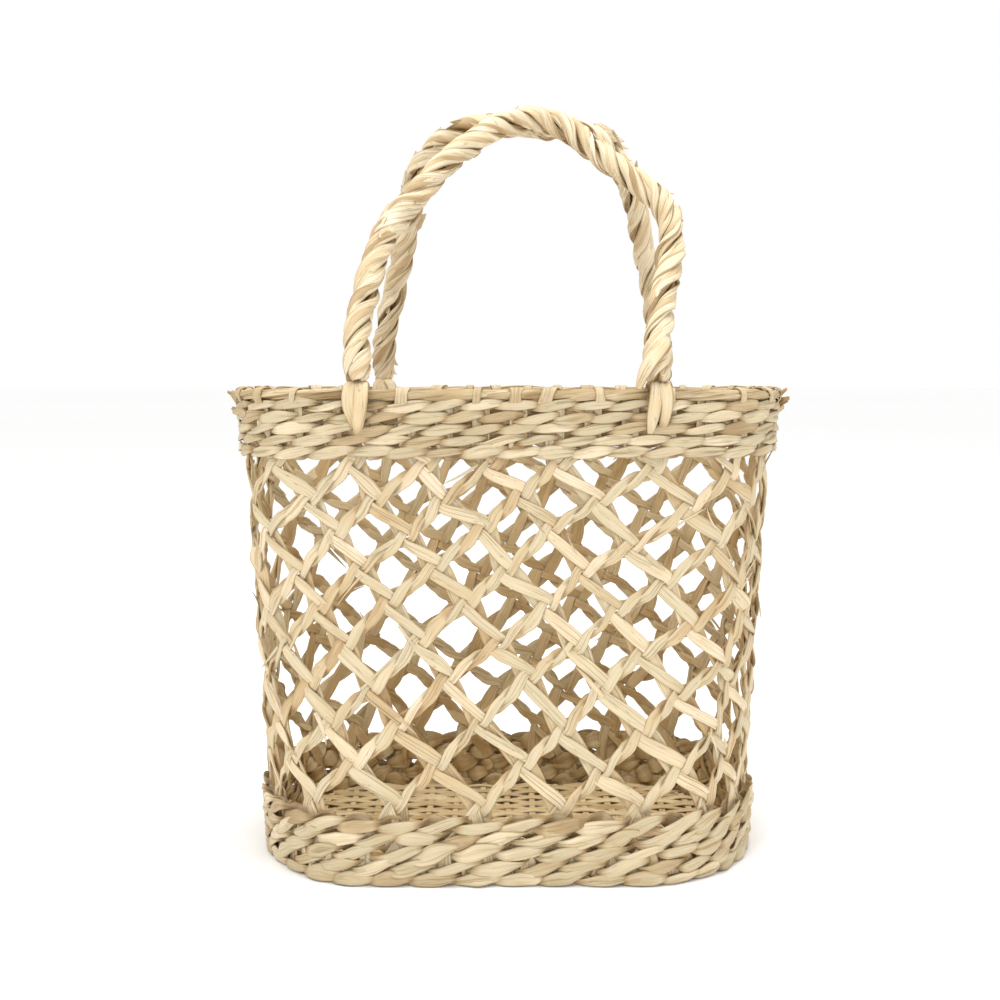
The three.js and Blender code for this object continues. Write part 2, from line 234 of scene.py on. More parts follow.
def wall_normal(share, z, near=2.0):
    """Square to the sloping wall, outwards; the slope is taken between two points near this height"""
    out = wall(share, z)[1]
    level = np.stack([-out[..., 1], out[..., 0], 0 * out[..., 0]], -1)
    rising = wall(share, z + near)[0] - wall(share, z - near)[0]
    return unit(np.cross(level, rising))


print("way round at the base and at the rim:", [round(float(way_round(z)), 1) for z in (0, HEIGHT)], "mm")


# %% [markdown]
# ## One tree for every blade
# A seagrass blade is a flat, folded leaf: thin, a little crowned, creased along its length. The tree
# takes a line of points that carry the blade's own directions and gives it that section. A profile
# circle remembers where each corner lies across the leaf and through it, so the materials can use it.

# %% Blade skin tree
# half the width of a fold's valley, as a share of half the blade's width
FOLD_WIDTH = 0.16


def leaf_tree():
    tree = bpy.data.node_groups.new("leaf_skin", "GeometryNodeTree")
    sockets = (("Geometry", "Geometry"), ("Sides", "Int"), ("Roundness", "Float"), ("Crown", "Float"),
               ("Fold depth", "Float"), ("Crease depth", "Float"), ("Crease length", "Float"),
               ("Creases across", "Float"), ("Seed", "Int"), ("Material", "Material"))
    for name, kind in sockets:
        tree.interface.new_socket(name, in_out="INPUT", socket_type="NodeSocket" + kind)
    tree.interface.new_socket("Geometry", in_out="OUTPUT", socket_type="NodeSocketGeometry")
    given = node(tree, "NodeGroupInput").node.outputs

    # the profile: a circle squared off a little, that stores its two coordinates
    profile = node(tree, "GeometryNodeCurvePrimitiveCircle", {"Resolution": given["Sides"], "Radius": 1.0})
    corner = node(tree, "ShaderNodeSeparateXYZ", {0: node(tree, "GeometryNodeInputPosition")}).node.outputs
    for name, axis in (("across", 0), ("thick", 1)):
        size = node(tree, MATH, {0: corner[axis]}, operation="ABSOLUTE")
        shaped = node(tree, MATH, {0: node(tree, MATH, {0: size, 1: given["Roundness"]}, operation="POWER"),
                                   1: node(tree, MATH, {0: corner[axis]}, operation="SIGN")},
                      operation="MULTIPLY")
        profile = node(tree, "GeometryNodeStoreNamedAttribute",
                       {"Geometry": profile, "Name": name, "Value": shaped}, domain="POINT")

    # what every point of the skin knows: its place in the section and the blade's own directions
    line = node(tree, "GeometryNodeMeshToCurve", {0: given["Geometry"]})
    skin = node(tree, "GeometryNodeCurveToMesh",
                {"Curve": line, "Profile Curve": profile, "Fill Caps": True})
    across, thick, fold_a, fold_b, crisp, along, lot = [
        node(tree, "GeometryNodeInputNamedAttribute", {"Name": name}, data_type="FLOAT")
        for name in ("across", "thick", "fold_a", "fold_b", "crisp", "along", "lot")]
    spot, side, face = [
        node(tree, "GeometryNodeInputNamedAttribute", {"Name": name}, data_type="FLOAT_VECTOR")
        for name in ("spot", "side", "face")]

    # two valleys along the blade where it was folded, each a bell curve across it
    dent = 0.0
    for fold in (fold_a, fold_b):
        gap = node(tree, MATH, {0: across, 1: fold}, operation="SUBTRACT")
        gap = node(tree, MATH, {0: gap, 1: gap}, operation="MULTIPLY")
        bell = node(tree, MATH, {0: gap, 1: -1 / FOLD_WIDTH ** 2}, operation="MULTIPLY")
        bell = node(tree, MATH, {0: bell}, operation="EXPONENT")
        dent = node(tree, MATH, {0: bell, 1: dent}, operation="ADD")
    dent = node(tree, MATH, {0: dent, 1: crisp}, operation="MULTIPLY")
    dent = node(tree, MATH, {0: dent, 1: given["Fold depth"]}, operation="MULTIPLY")
    body = node(tree, MATH, {0: 1.0, 1: dent}, operation="SUBTRACT")
    body = node(tree, MATH, {0: body, 1: thick}, operation="MULTIPLY")
    # crown: the middle of the blade stands a little higher than its edges
    flank = node(tree, MATH, {0: across, 1: across}, operation="MULTIPLY")
    flank = node(tree, MATH, {0: 1.0, 1: flank}, operation="SUBTRACT")
    raised = node(tree, MATH, {0: flank, 1: given["Crown"], 2: body}, operation="MULTIPLY_ADD")
    # every point goes to spot + side * across + face * raised
    sideways = node(tree, VECTOR, {0: side, 3: across}, operation="SCALE")
    outwards = node(tree, VECTOR, {0: face, 3: raised}, operation="SCALE")
    place = node(tree, VECTOR, {0: sideways, 1: outwards}, operation="ADD")
    place = node(tree, VECTOR, {0: place, 1: spot}, operation="ADD")
    skin = node(tree, "GeometryNodeSetPosition", {"Geometry": skin, "Position": place})

    # lengthwise creases: noise stretched along the blade moves the skin along its normal. Every blade,
    # and each of its faces, reads the noise at a place of its own
    blades_apart, faces_apart = 37.0, 0.6
    length = node(tree, MATH, {0: along, 1: given["Crease length"]}, operation="DIVIDE")
    breadth = node(tree, MATH, {0: across, 1: given["Creases across"]}, operation="MULTIPLY")
    layer = node(tree, MATH, {0: thick, 1: faces_apart}, operation="MULTIPLY")
    layer = node(tree, MATH, {0: lot, 1: blades_apart, 2: layer}, operation="MULTIPLY_ADD")
    grain = node(tree, "ShaderNodeCombineXYZ", {0: length, 1: breadth, 2: layer})
    noise = node(tree, "ShaderNodeTexNoise",
                 {"Vector": grain, "W": given["Seed"], "Scale": 1.0, "Detail": 2.0}, noise_dimensions="4D")
    depth = node(tree, MATH, {0: noise, 1: 0.5}, operation="SUBTRACT")
    depth = node(tree, MATH, {0: depth, 1: given["Crease depth"]}, operation="MULTIPLY")
    push = node(tree, VECTOR, {0: node(tree, "GeometryNodeInputNormal"), 3: depth}, operation="SCALE")
    skin = node(tree, "GeometryNodeSetPosition", {"Geometry": skin, "Offset": push})
    skin = node(tree, "GeometryNodeSetShadeSmooth", {"Geometry": skin})
    skin = node(tree, "GeometryNodeRealizeInstances", {"Geometry": skin})
    skin = node(tree, "GeometryNodeSetMaterial", {"Geometry": skin, "Material": given["Material"]})
    node(tree, "NodeGroupOutput", {0: skin})
    return tree


LEAF = leaf_tree()
print("leaf_skin tree:", len(LEAF.nodes), "nodes")


# %% [markdown]
# ## Blades
# A blade is a path with a direction that its flat face looks to, a width and a thickness. Nothing on
# a dried leaf is quite even, so most of its values wander a little as they go along.

# %% Blades
VECTORS = ("spot", "side", "face")
NUMBERS = ("along", "lot", "tone", "fold_a", "fold_b", "crisp")


def eased(share):
    """0 to 1 with a soft start and end"""
    return share * share * (3 - 2 * share)


def drift(rng, count, every, size):
    """Values that wander smoothly, with a new aim each so many steps"""
    aims = rng.normal(0, 1, int(count / every) + 3)
    steps = np.arange(count) / every
    index = steps.astype(int)
    blend = eased(steps - index)
    return size * (aims[index] * (1 - blend) + aims[index + 1] * blend)


def blade(rng, path, outs, width, thick, tone, roll=0.0, every=10, creased=0.55):
    """The arrays of one blade, in mm; width, thick, tone and roll may change along it, its two folds
    wander, with a new aim each 2 x every steps, and are as sharp as creased says"""
    count = len(path)
    travel = unit(np.gradient(path, axis=0))
    side = unit(np.cross(outs, travel))
    face = np.cross(travel, side)
    roll = np.broadcast_to(roll, count)[:, None]
    side, face = side * np.cos(roll) + face * np.sin(roll), face * np.cos(roll) - side * np.sin(roll)
    step = np.linalg.norm(np.diff(path, axis=0), axis=1)
    return {
        "spot": path,
        "side": side * np.broadcast_to(width, count)[:, None] / 2,
        "face": face * np.broadcast_to(thick, count)[:, None] / 2,
        "along": np.concatenate([[0.0], np.cumsum(step)]),
        "lot": np.full(count, rng.uniform(0, 9)),
        "tone": np.clip(np.broadcast_to(np.asarray(tone, float), count), 0, 1),
        "fold_a": rng.uniform(-0.1, 0.7) + drift(rng, count, every * 2, 0.16),
        "fold_b": rng.uniform(-0.7, 0.1) + drift(rng, count, every * 2, 0.16),
        "crisp": np.clip(creased + drift(rng, count, every, 0.4), 0, 1),
    }


def ends_round(count, fade):
    """Factor that rounds off the first and last few steps of a blade"""
    step = np.minimum(np.arange(count), np.arange(count)[::-1]) / fade
    return np.sqrt(np.clip(1 - (1 - np.minimum(step, 1)) ** 2, 0.02, 1))


print("every point of a blade carries:", *VECTORS, *NUMBERS)


# %% [markdown]
# ## Pieces
# A piece is one or more blades. The tree's result, finish and all, is turned into a plain mesh; the piece
# is then hung on the body that carries it, and the solids that it stands for are hidden.

# %% From blades to pieces
def lines_object(blades):
    """A mesh of bare lines that carries the blades' arrays as point attributes"""
    mesh = bpy.data.meshes.new("lines")
    spots = np.concatenate([b["spot"] for b in blades]) * MM
    edges, start = [], 0
    for b in blades:
        index = np.arange(start, start + len(b["spot"]) - 1)
        edges.append(np.stack([index, index + 1], 1))
        start += len(b["spot"])
    mesh.from_pydata(spots, np.concatenate(edges), [])
    for name in VECTORS:
        values = np.concatenate([b[name] for b in blades]) * MM
        mesh.attributes.new(name, "FLOAT_VECTOR", "POINT").data.foreach_set("vector", values.ravel())
    for name in NUMBERS:
        values = np.concatenate([b[name] for b in blades])
        mesh.attributes.new(name, "FLOAT", "POINT").data.foreach_set("value", values)
    holder = bpy.data.objects.new("lines", mesh)
    bpy.context.collection.objects.link(holder)
    return holder


TOTAL = {"pieces": 0, "triangles": 0}


def make_piece(name, blades, material, body, nodes=(), sides=16, roundness=0.55, crown=0.3, fold=0.6,
               crease=0.4, crease_length=14.0, across=2.2):
    """Skins the blades; crown and fold are shares of half the thickness, crease and its length are mm,
    and across is how many creases lie side by side on half a blade"""
    holder = lines_object(blades)
    modifier = holder.modifiers.new("skin", "NODES")
    modifier.node_group = LEAF
    values = {"Sides": sides, "Roundness": roundness, "Crown": crown, "Fold depth": fold,
              "Crease depth": crease * MM, "Crease length": crease_length, "Creases across": across,
              "Seed": 3, "Material": material}
    for item in LEAF.interface.items_tree:
        if item.in_out == "INPUT" and item.name in values:
            modifier[item.identifier] = values[item.name]
    graph = bpy.context.evaluated_depsgraph_get()
    mesh = bpy.data.meshes.new_from_object(holder.evaluated_get(graph), preserve_all_data_layers=True,
                                           depsgraph=graph)
    for spare in VECTORS:
        if spare in mesh.attributes:
            mesh.attributes.remove(mesh.attributes[spare])
    bpy.data.objects.remove(holder)
    mesh.name = name
    piece = bpy.data.objects.new(name, mesh)
    bpy.context.collection.objects.link(piece)
    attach(piece, body)
    if nodes:
        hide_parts(*nodes)
    TOTAL["pieces"] += 1
    TOTAL["triangles"] += sum(len(p.vertices) - 2 for p in mesh.polygons)


print("inputs of a piece:", [item.name for item in LEAF.interface.items_tree if item.in_out == "INPUT"])


# %% [markdown]
# ## Dried seagrass
# Dried seagrass (sun-dried sedge) is matt to silky, straw coloured, with a greenish or tan cast from
# blade to blade. Up close it has fibres along its length about half a millimetre apart and a few sharp
# creases where the leaf was folded. The finish paints shade into the creases, onto the edges where blades
# meet, which also show wear, and onto each blade's inner face. The colours run along the blade's own
# coordinates, so they follow every bend.

# %% Seagrass material
# the same on every finish: brown patches, also used for painted shade at low tones, dry fibres, painted
# shade in the folds, worn edges with painted shade, and painted shade on the inner face
PATCH_AND_SHADE, FIBRE, FOLD_SHADE, EDGE_WEAR_AND_SHADE, INNER_SHADE = "#86683E", "#AC8F5C", "#6E5232", "#8F7346", "#AE925C"
INNER_SHADE_SHARE = 0.3
# between matt and silky, and a little silkier between the fibres
ROUGH = 0.6
# how deep fibres and folds look where the mesh is too coarse for them, in mm
RELIEF = 0.2
# the noises of a finish: mm along the blade, spots across half of it, start and detail
PATCHES, FIBRES_SEEN, FOLDS = (26.0, 0.5, 0.0, 2.0), (12.0, 7.0, 11.0, 3.0), (34.0, 1.6, 23.0, 1.0)


def seagrass(name, hues, dark, edge_share):
    """A finish; hues go from dark to light, dark says how deep the painted shade in the folds is and
    edge_share how dark the edges are, from wear and from painted shade where blades meet"""
    material = bpy.data.materials.new(name)
    material.use_nodes = True
    tree = material.node_tree
    shader = tree.nodes["Principled BSDF"]
    along, across, thick, lot, tone, fold_a, fold_b, crisp = [
        node(tree, "ShaderNodeAttribute", output="Fac", attribute_name=field)
        for field in ("along", "across", "thick", "lot", "tone", "fold_a", "fold_b", "crisp")]

    # three noises in the blade's own coordinates, at a place of its own for every blade and face
    blades_apart, faces_apart = 53.0, 0.7
    noises = []
    for length, count, start, detail in (PATCHES, FIBRES_SEEN, FOLDS):
        down = node(tree, MATH, {0: along, 1: length}, operation="DIVIDE")
        over = node(tree, MATH, {0: across, 1: count}, operation="MULTIPLY")
        layer = node(tree, MATH, {0: thick, 1: faces_apart, 2: start}, operation="MULTIPLY_ADD")
        layer = node(tree, MATH, {0: lot, 1: blades_apart, 2: layer}, operation="MULTIPLY_ADD")
        place = node(tree, "ShaderNodeCombineXYZ", {0: down, 1: over, 2: layer})
        noises.append(node(tree, "ShaderNodeTexNoise",
                           {"Vector": place, "Scale": 1.0, "Detail": detail, "Roughness": 0.6}))
    patches, fibres, folds = noises

    # hue from blade to blade and, slower, along each one
    key = node(tree, MATH, {0: patches, 1: 0.5, 2: -0.11}, operation="MULTIPLY_ADD")
    key = node(tree, MATH, {0: tone, 1: 0.72, 2: key}, operation="MULTIPLY_ADD", use_clamp=True)
    hue = node(tree, "ShaderNodeValToRGB", {0: key})
    stops = hue.node.color_ramp.elements
    first = 0.16
    # the dark first stop is the brown of the patches, and of the painted shade that pieces give as a low
    # tone
    for index, code in enumerate([PATCH_AND_SHADE] + hues):
        place = 0.0 if index == 0 else first + (1 - first) * (index - 1) / (len(hues) - 1)
        stop = stops[index] if index < 2 else stops.new(place)
        stop.position = place
        stop.color = hex_colour(code)

    # fibres about half a millimetre apart
    streak = node(tree, MATH, {0: fibres, 1: 3.4, 2: -3.4 * 0.42}, operation="MULTIPLY_ADD", use_clamp=True)
    streak = node(tree, MATH, {0: streak, 1: 0.27}, operation="MULTIPLY")
    colour = node(tree, MIX, {0: streak, 6: hue, 7: hex_colour(FIBRE)}, output=2, data_type="RGBA")

    # folds: thin lines of painted shade where a slow noise passes its middle value, and along the two folds
    line = node(tree, MATH, {0: folds, 1: 0.5}, operation="SUBTRACT")
    line = node(tree, MATH, {0: line}, operation="ABSOLUTE")
    line = node(tree, MATH, {0: line, 1: -40.0, 2: 0.6}, operation="MULTIPLY_ADD", use_clamp=True)
    for fold in (fold_a, fold_b):
        near = node(tree, MATH, {0: across, 1: fold}, operation="SUBTRACT")
        near = node(tree, MATH, {0: near}, operation="ABSOLUTE")
        near = node(tree, MATH, {0: near, 1: -14.0, 2: 1.0}, operation="MULTIPLY_ADD", use_clamp=True)
        near = node(tree, MATH, {0: near, 1: crisp}, operation="MULTIPLY")
        line = node(tree, MATH, {0: line, 1: near}, operation="MAXIMUM")
    share = node(tree, MATH, {0: line, 1: dark}, operation="MULTIPLY")
    colour = node(tree, MIX, {0: share, 6: colour, 7: hex_colour(FOLD_SHADE)}, output=2, data_type="RGBA")

    # darker edges, worn and with painted shade where blades meet, and painted shade on the inner face
    edge = node(tree, MATH, {0: across}, operation="ABSOLUTE")
    edge = node(tree, MATH, {0: edge, 1: 5.0, 2: -4.1}, operation="MULTIPLY_ADD", use_clamp=True)
    edge = node(tree, MATH, {0: edge, 1: edge_share}, operation="MULTIPLY")
    colour = node(tree, MIX, {0: edge, 6: colour, 7: hex_colour(EDGE_WEAR_AND_SHADE)}, output=2, data_type="RGBA")
    # painted shade: the inner face of every blade is tanner and duller, as the inside of the basket is in
    # shade
    back = node(tree, MATH, {0: thick, 1: -4.0, 2: -0.2}, operation="MULTIPLY_ADD", use_clamp=True)
    back = node(tree, MATH, {0: back, 1: INNER_SHADE_SHARE}, operation="MULTIPLY")
    colour = node(tree, MIX, {0: back, 6: colour, 7: hex_colour(INNER_SHADE)}, output=2, data_type="RGBA")
    tree.links.new(colour, shader.inputs["Base Color"])

    # relief of fibres and folds, and a silkier look between the fibres
    height = node(tree, MATH, {0: fibres, 1: line}, operation="SUBTRACT")
    bump = node(tree, "ShaderNodeBump", {"Height": height, "Distance": RELIEF * MM, "Strength": 0.7})
    tree.links.new(bump, shader.inputs["Normal"])
    gloss = node(tree, MATH, {0: fibres, 1: 0.25, 2: ROUGH - 0.12}, operation="MULTIPLY_ADD")
    tree.links.new(gloss, shader.inputs["Roughness"])
    shader.inputs["IOR"].default_value = 1.45
    shader.inputs["Specular IOR Level"].default_value = 0.35
    return material


# the open wall's blades: pale and dry, with sharp folds
WALL_LEAF = seagrass("seagrass_stakes", ["#BFA177", "#D3BB93", "#D6C8A7", "#E5D0AD", "#F6E4C8"],
                     dark=0.75, edge_share=0.55)
# the weavers: a shade greyer than the wall, with softer folds
ROW_LEAF = seagrass("seagrass_twining", ["#A68D69", "#C0A984", "#CABC9B", "#D9C7A6", "#EDDDBD"],
                    dark=0.5, edge_share=0.7)
# the folded border: tan and the darkest part of the basket, under wraps that are a little paler
BORDER_LEAF = seagrass("seagrass_border", ["#93794F", "#AE946C", "#BFAA84", "#CBB794", "#E0CDAC"],
                       dark=0.7, edge_share=0.8)
WRAP_LEAF = seagrass("seagrass_wraps", ["#AC926A", "#C0A983", "#CCB996", "#D6C4A2", "#E4D3B4"],
                     dark=0.6, edge_share=0.7)
# the floor's fine blades: an even, warm straw colour
MAT_LEAF = seagrass("seagrass_floor", ["#C6AA78", "#D6BE90", "#E2CB9F", "#EAD6AB", "#F2E1BC"],
                    dark=0.6, edge_share=0.6)
# the ropes: the palest leaves, with painted shade on the edges between them
ROPE_LEAF = seagrass("seagrass_rope", ["#C6AB83", "#DDC69F", "#E2D3B3", "#EFDEBF", "#FBEDD6"],
                     dark=0.65, edge_share=0.8)
print("six seagrass finishes")


# %% [markdown]
# ## Where the stakes cross
# A hand-woven lattice is never even. The crossings on the front are shifted as in the photograph, a few
# millimetres at most, and all others by a seeded wander of the same size.

# %% Crossings
# for each row from the top: the first right stake, and (to the right, up) in mm for it and the next ones
KNOTS = (
    (17, ((-2, 1.5), (2.5, 2), (1.5, 0.5), (-3, 0), (-6, 0.5), (5, -1), (8, -5))),
    (16, ((-5, -1), (2, 2), (-2, 1.5), (-5, 1), (-2, 4.5), (0, 1), (8, -2), (8, -1))),
    (16, ((-4.5, 3.5), (0.5, 4), (0, 2), (1.5, 7), (-1.5, 6.5), (1, -3), (8, -1.5))),
    (16, ((2.5, 2), (-1.5, 5.5), (-0.5, 5.5), (-2.5, 3.5), (-1.5, 3.5), (3, -2), (8, -6))),
    (15, ((-0.5, -1), (-1, 3.5), (-1.5, 7), (0.5, 6.5), (3.5, 5), (0.5, 2.5), (2, -5))),
    (15, ((0.5, 3), (-1.5, 4), (-0.5, 6), (1, 4.5), (1.5, 3.5), (-1.5, 0.5), (6, -7))),
    (15, ((1, 2), (-1.5, 1.5), (-1, 6.5), (1, 7), (-0.5, 2.5), (1, -2))),
    (14, ((-1, -1), (0, 1.5), (-2, 1), (0, 3), (2, -1.5), (3.5, -2), (8, -4))),
    (14, ((-4, 0), (-1.5, 1), (2, 0), (5, 1), (4.5, -3), (7, -2))),
    (14, ((-2.5, 1.5), (5, -0.5), (7.5, -1.5), (6.5, -3), (7, -1.5), (8, -2))),
)


def crossing_shifts():
    rng = np.random.default_rng(11)
    shifts = rng.normal(0, 2.1, (STAKES, ROWS, 2))
    for row, (first, seen) in enumerate(KNOTS):
        for step, shift in enumerate(seen):
            shifts[(first + step) % STAKES, row] = shift
    return shifts


SHIFTS = crossing_shifts()
print("crossings:", STAKES * ROWS, "largest shift", round(float(np.abs(SHIFTS).max()), 1), "mm")


# %% [markdown]
# ## Stakes
# Each stake is a folded leaf, so it is a pair of blades. First comes the line that the pair follows: an
# even slant through the lattice, the hand-made shifts of its crossings, and a short straight leg at
# either end that the twined bands hold.

# %% Places of a stake
# in rows: from point to point of a line, and how far the lattice reaches past its outer crossings
STEP = 1 / 11
LATTICE_EDGE = 0.5
# height where the straight legs end, 14 mm below the top of the base band
LEG_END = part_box("base_row_5")[1][2] / MM - 14.0
# how far a stake runs on past the lattice, in mm: up into the rim band, and down into the base band
INTO_RIM = np.arange(22.0, 0.5, -2.0)
INTO_BASE = np.arange(2.0, 13.0, 2.0)
# rows past the outer crossings over which their shifts die out
SHIFT_FADE = 0.7


def past_lattice(u):
    """Rows past the first or the last crossing; below zero between them"""
    return np.maximum(-u, u - ROWS + 1)


def crossing_at(lean, index, row):
    """The right stake of a crossing, which is this stake itself or the one that it meets in the row"""
    return (index - (row if lean == "left" else 0)) % STAKES


def stake_places(lean, index):
    """Place along the line in rows, share of the way round and height, from the rim to the base"""
    rows = np.arange(-LATTICE_EDGE, ROWS - LATTICE_EDGE + STEP / 2, STEP)
    leg = LOW_CROSSING - LEG_END
    u = np.concatenate([-LATTICE_EDGE - INTO_RIM / PITCH, rows,
                        ROWS - LATTICE_EDGE + INTO_BASE * LATTICE_EDGE / leg])
    held = np.clip(u, -LATTICE_EDGE, ROWS - LATTICE_EDGE)
    # below the last crossing the legs spread straight into the base band
    z = np.where(u < ROWS - 1, TOP_CROSSING - u * PITCH, LOW_CROSSING - (u - ROWS + 1) * leg / LATTICE_EDGE)
    share = (index + START + LEAN[lean] * held) / STAKES
    # hand-made shifts, shared with the line that crosses here
    row = np.clip(u, 0, ROWS - 1)
    low = np.minimum(row.astype(int), ROWS - 2)
    blend = (row - low)[:, None]
    above, below = [SHIFTS[crossing_at(lean, index, r), r] for r in (low, low + 1)]
    shift = above * (1 - blend) + below * blend
    fade = np.clip(1 - past_lattice(u) / SHIFT_FADE, 0, 1)
    share = share + shift[:, 0] * fade / way_round(z)
    z = z + shift[:, 1] * fade
    soft = np.array([1, 2, 3, 2, 1]) / 9
    for values in (share, z):
        values[2:-2] = np.convolve(values, soft, "valid")
    return u, share, z


print("a stake has", len(stake_places("right", 0)[0]), "points from rim to base")


# %% [markdown]
# ## The blades of a stake
# At every crossing the two pairs are woven two over two, which makes the little pinwheels. One pair
# turns half round between crossings, the other a full turn. Written as a sine and a cosine of the place
# along the line, the weave comes out by itself: no crossing has to be modelled.

# %% Stake blades
BLADE_THICK = 0.85
# width of a blade in mm: mean, spread, least and most
BLADE_WIDTH = {"right": (5.9, 0.7, 4.8, 7.2), "left": (5.1, 0.5, 4.2, 6.0)}
# inside a band: mm outwards from the wall's middle, and the rows past the lattice where the change to
# that starts and that it takes
BAND_RADIUS, BAND_START, BAND_BLEND = 1.9, 0.28, 0.32


def squared(wave, softness=0.22):
    """A wave that stays near its highest and lowest value and passes quickly between them"""
    return wave / np.sqrt(wave ** 2 + softness ** 2) * math.sqrt(1 + softness ** 2)


def zigzag(turn, peak=0.97):
    """A cosine with nearly straight flanks"""
    return np.arcsin(peak * np.cos(turn)) / math.asin(peak)


def stake_blades(lean, index):
    rng = np.random.default_rng([5, index, lean == "left"])
    u, share, z = stake_places(lean, index)
    point = wall(share, z)[0]
    normal = wall_normal(share, z)
    travel = unit(np.gradient(point, axis=0))
    lateral = np.cross(normal, travel) * (1 if lean == "right" else -1)
    band = eased(np.clip((past_lattice(u) - BAND_START) / BAND_BLEND, 0, 1))
    # in a band the two blades lie side by side, and the base band hides that their feet are wider
    hidden = np.clip((u - ROWS + 1 - LATTICE_EDGE) / 0.15, 0, 1)
    band_offset, band_width = 2.1 + 1.5 * hidden, 4.2 + 3.4 * hidden
    # each crossing presses the blades narrower, and so does the place where a left pair turns over
    narrow = 1 - 0.2 * np.abs(np.cos(math.pi * u)) ** 4
    if lean == "right":
        swing, height, reach = zigzag(math.pi * u), -np.sin(math.pi * u), 3.0
    else:
        swing, height = np.cos(2 * math.pi * u), np.sin(2 * math.pi * u)
        reach = 1.35 + 0.8 * np.cos(math.pi * u) ** 2
        narrow = narrow - 0.26 * np.exp(-((np.mod(u, 1) - 0.5) / 0.1) ** 2)
    mean, spread, least, most = BLADE_WIDTH[lean]
    # 1 at the two round ends of the basket, where the blades stand more unevenly
    round_end = np.abs(normal[:, 0])
    blades = []
    for part in (1, -1):
        flat = np.clip(rng.normal(mean, spread), least, most)
        lift = squared(height) * BLADE_THICK * part
        offset = swing * part * reach * (1 + drift(rng, len(u), 9, 0.08))
        width = (flat + drift(rng, len(u), 6, 0.75)) * narrow
        offset = offset * (1 - band) + part * band_offset * band
        radial = lift * (1 - band) + BAND_RADIUS * band
        width = width * (1 - band) + band_width * band
        thick = BLADE_THICK + 0.05 * band + 0.5 * round_end * (1 - band)
        path = point + lateral * offset[:, None] + normal * radial[:, None]
        # painted shade: a blade is darker where it passes under the other pair
        under_shade = np.clip(-radial / BLADE_THICK, 0, 1) * (1 - band)
        tone = rng.uniform(0.3, 0.95) + drift(rng, len(u), 11, 0.15) - 0.3 * under_shade
        roll = drift(rng, len(u), 8, 0.2) + drift(rng, len(u), 8, 0.4) * round_end
        blades.append(blade(rng, path, normal, width, thick, tone, roll))
    return blades


def build_stakes():
    for index in range(STAKES):
        for lean in ("right", "left"):
            name = f"{lean}_stake_{index + 1:02d}"
            make_piece(f"{name}_leaves", stake_blades(lean, index), WALL_LEAF, "basket",
                       [name], crown=0.2, fold=1.1, crease=0.6, across=2.6)


build_stakes()
print("stakes:", TOTAL)


# %% [markdown]
# ## Twined rows
# Pair twining: two weavers pass each upright together, one in front and one behind, and change places
# in every gap, always with the same twist. Seen from outside, that gives a line of slanted, pointed
# stitches. Every other row takes the blades of the pairs apart, so its stitches stand between those of
# the row below, as bricks do. Each weaver is a flattened spiral round the line of uprights.

# %% Twined rows
# where the first upright stands, in spacings of the stakes past the first of them
FIRST_UPRIGHT = 0.3
# share of the way to the next upright where a stitch comes to its tip
TIP = 0.64
# inside the basket a stitch grows wider than its full width, which closes the band
INNER_WIDTH = 1.35
# the weavers start behind the basket: number of the upright, overlap at the end, points to an upright
SEAM, OVERLAP, STITCH_POINTS = 19, 0.75, 16
# what every row clears the ground by, in mm
CLEAR = 0.5
# in mm: centre and half the depth of the spiral outwards from the wall, half its height, a stitch's full
# width and thickness, and how far it strays up or down; tip is the share of the width at its tip
RIM_ROW = {"centre": 1.7, "swing": 2.2, "rise": 0.95, "width": 5.2, "thick": 1.15, "tip": 0.5,
           "wander": 0.5}
BASE_ROW = {"centre": 1.9, "swing": 2.5, "rise": 1.75, "width": 7.0, "thick": 1.4, "tip": 0.44,
            "wander": 0.6}


def upright_share(m):
    """Share of the way round where upright number m stands; m may be a fraction"""
    return (m / 2 + START + FIRST_UPRIGHT) / STAKES


def stitch_width(place, tip):
    """Share of the full width, by the place in a stitch: 0 in its middle outside, 1 inside the basket"""
    outer = tip + (1 - tip) * (1 - np.minimum(place / TIP, 1) ** 1.4)
    inner = tip + (INNER_WIDTH - tip) * np.clip((place - TIP) / (1 - TIP), 0, 1) ** 0.45
    return np.where(place < TIP, outer, inner)


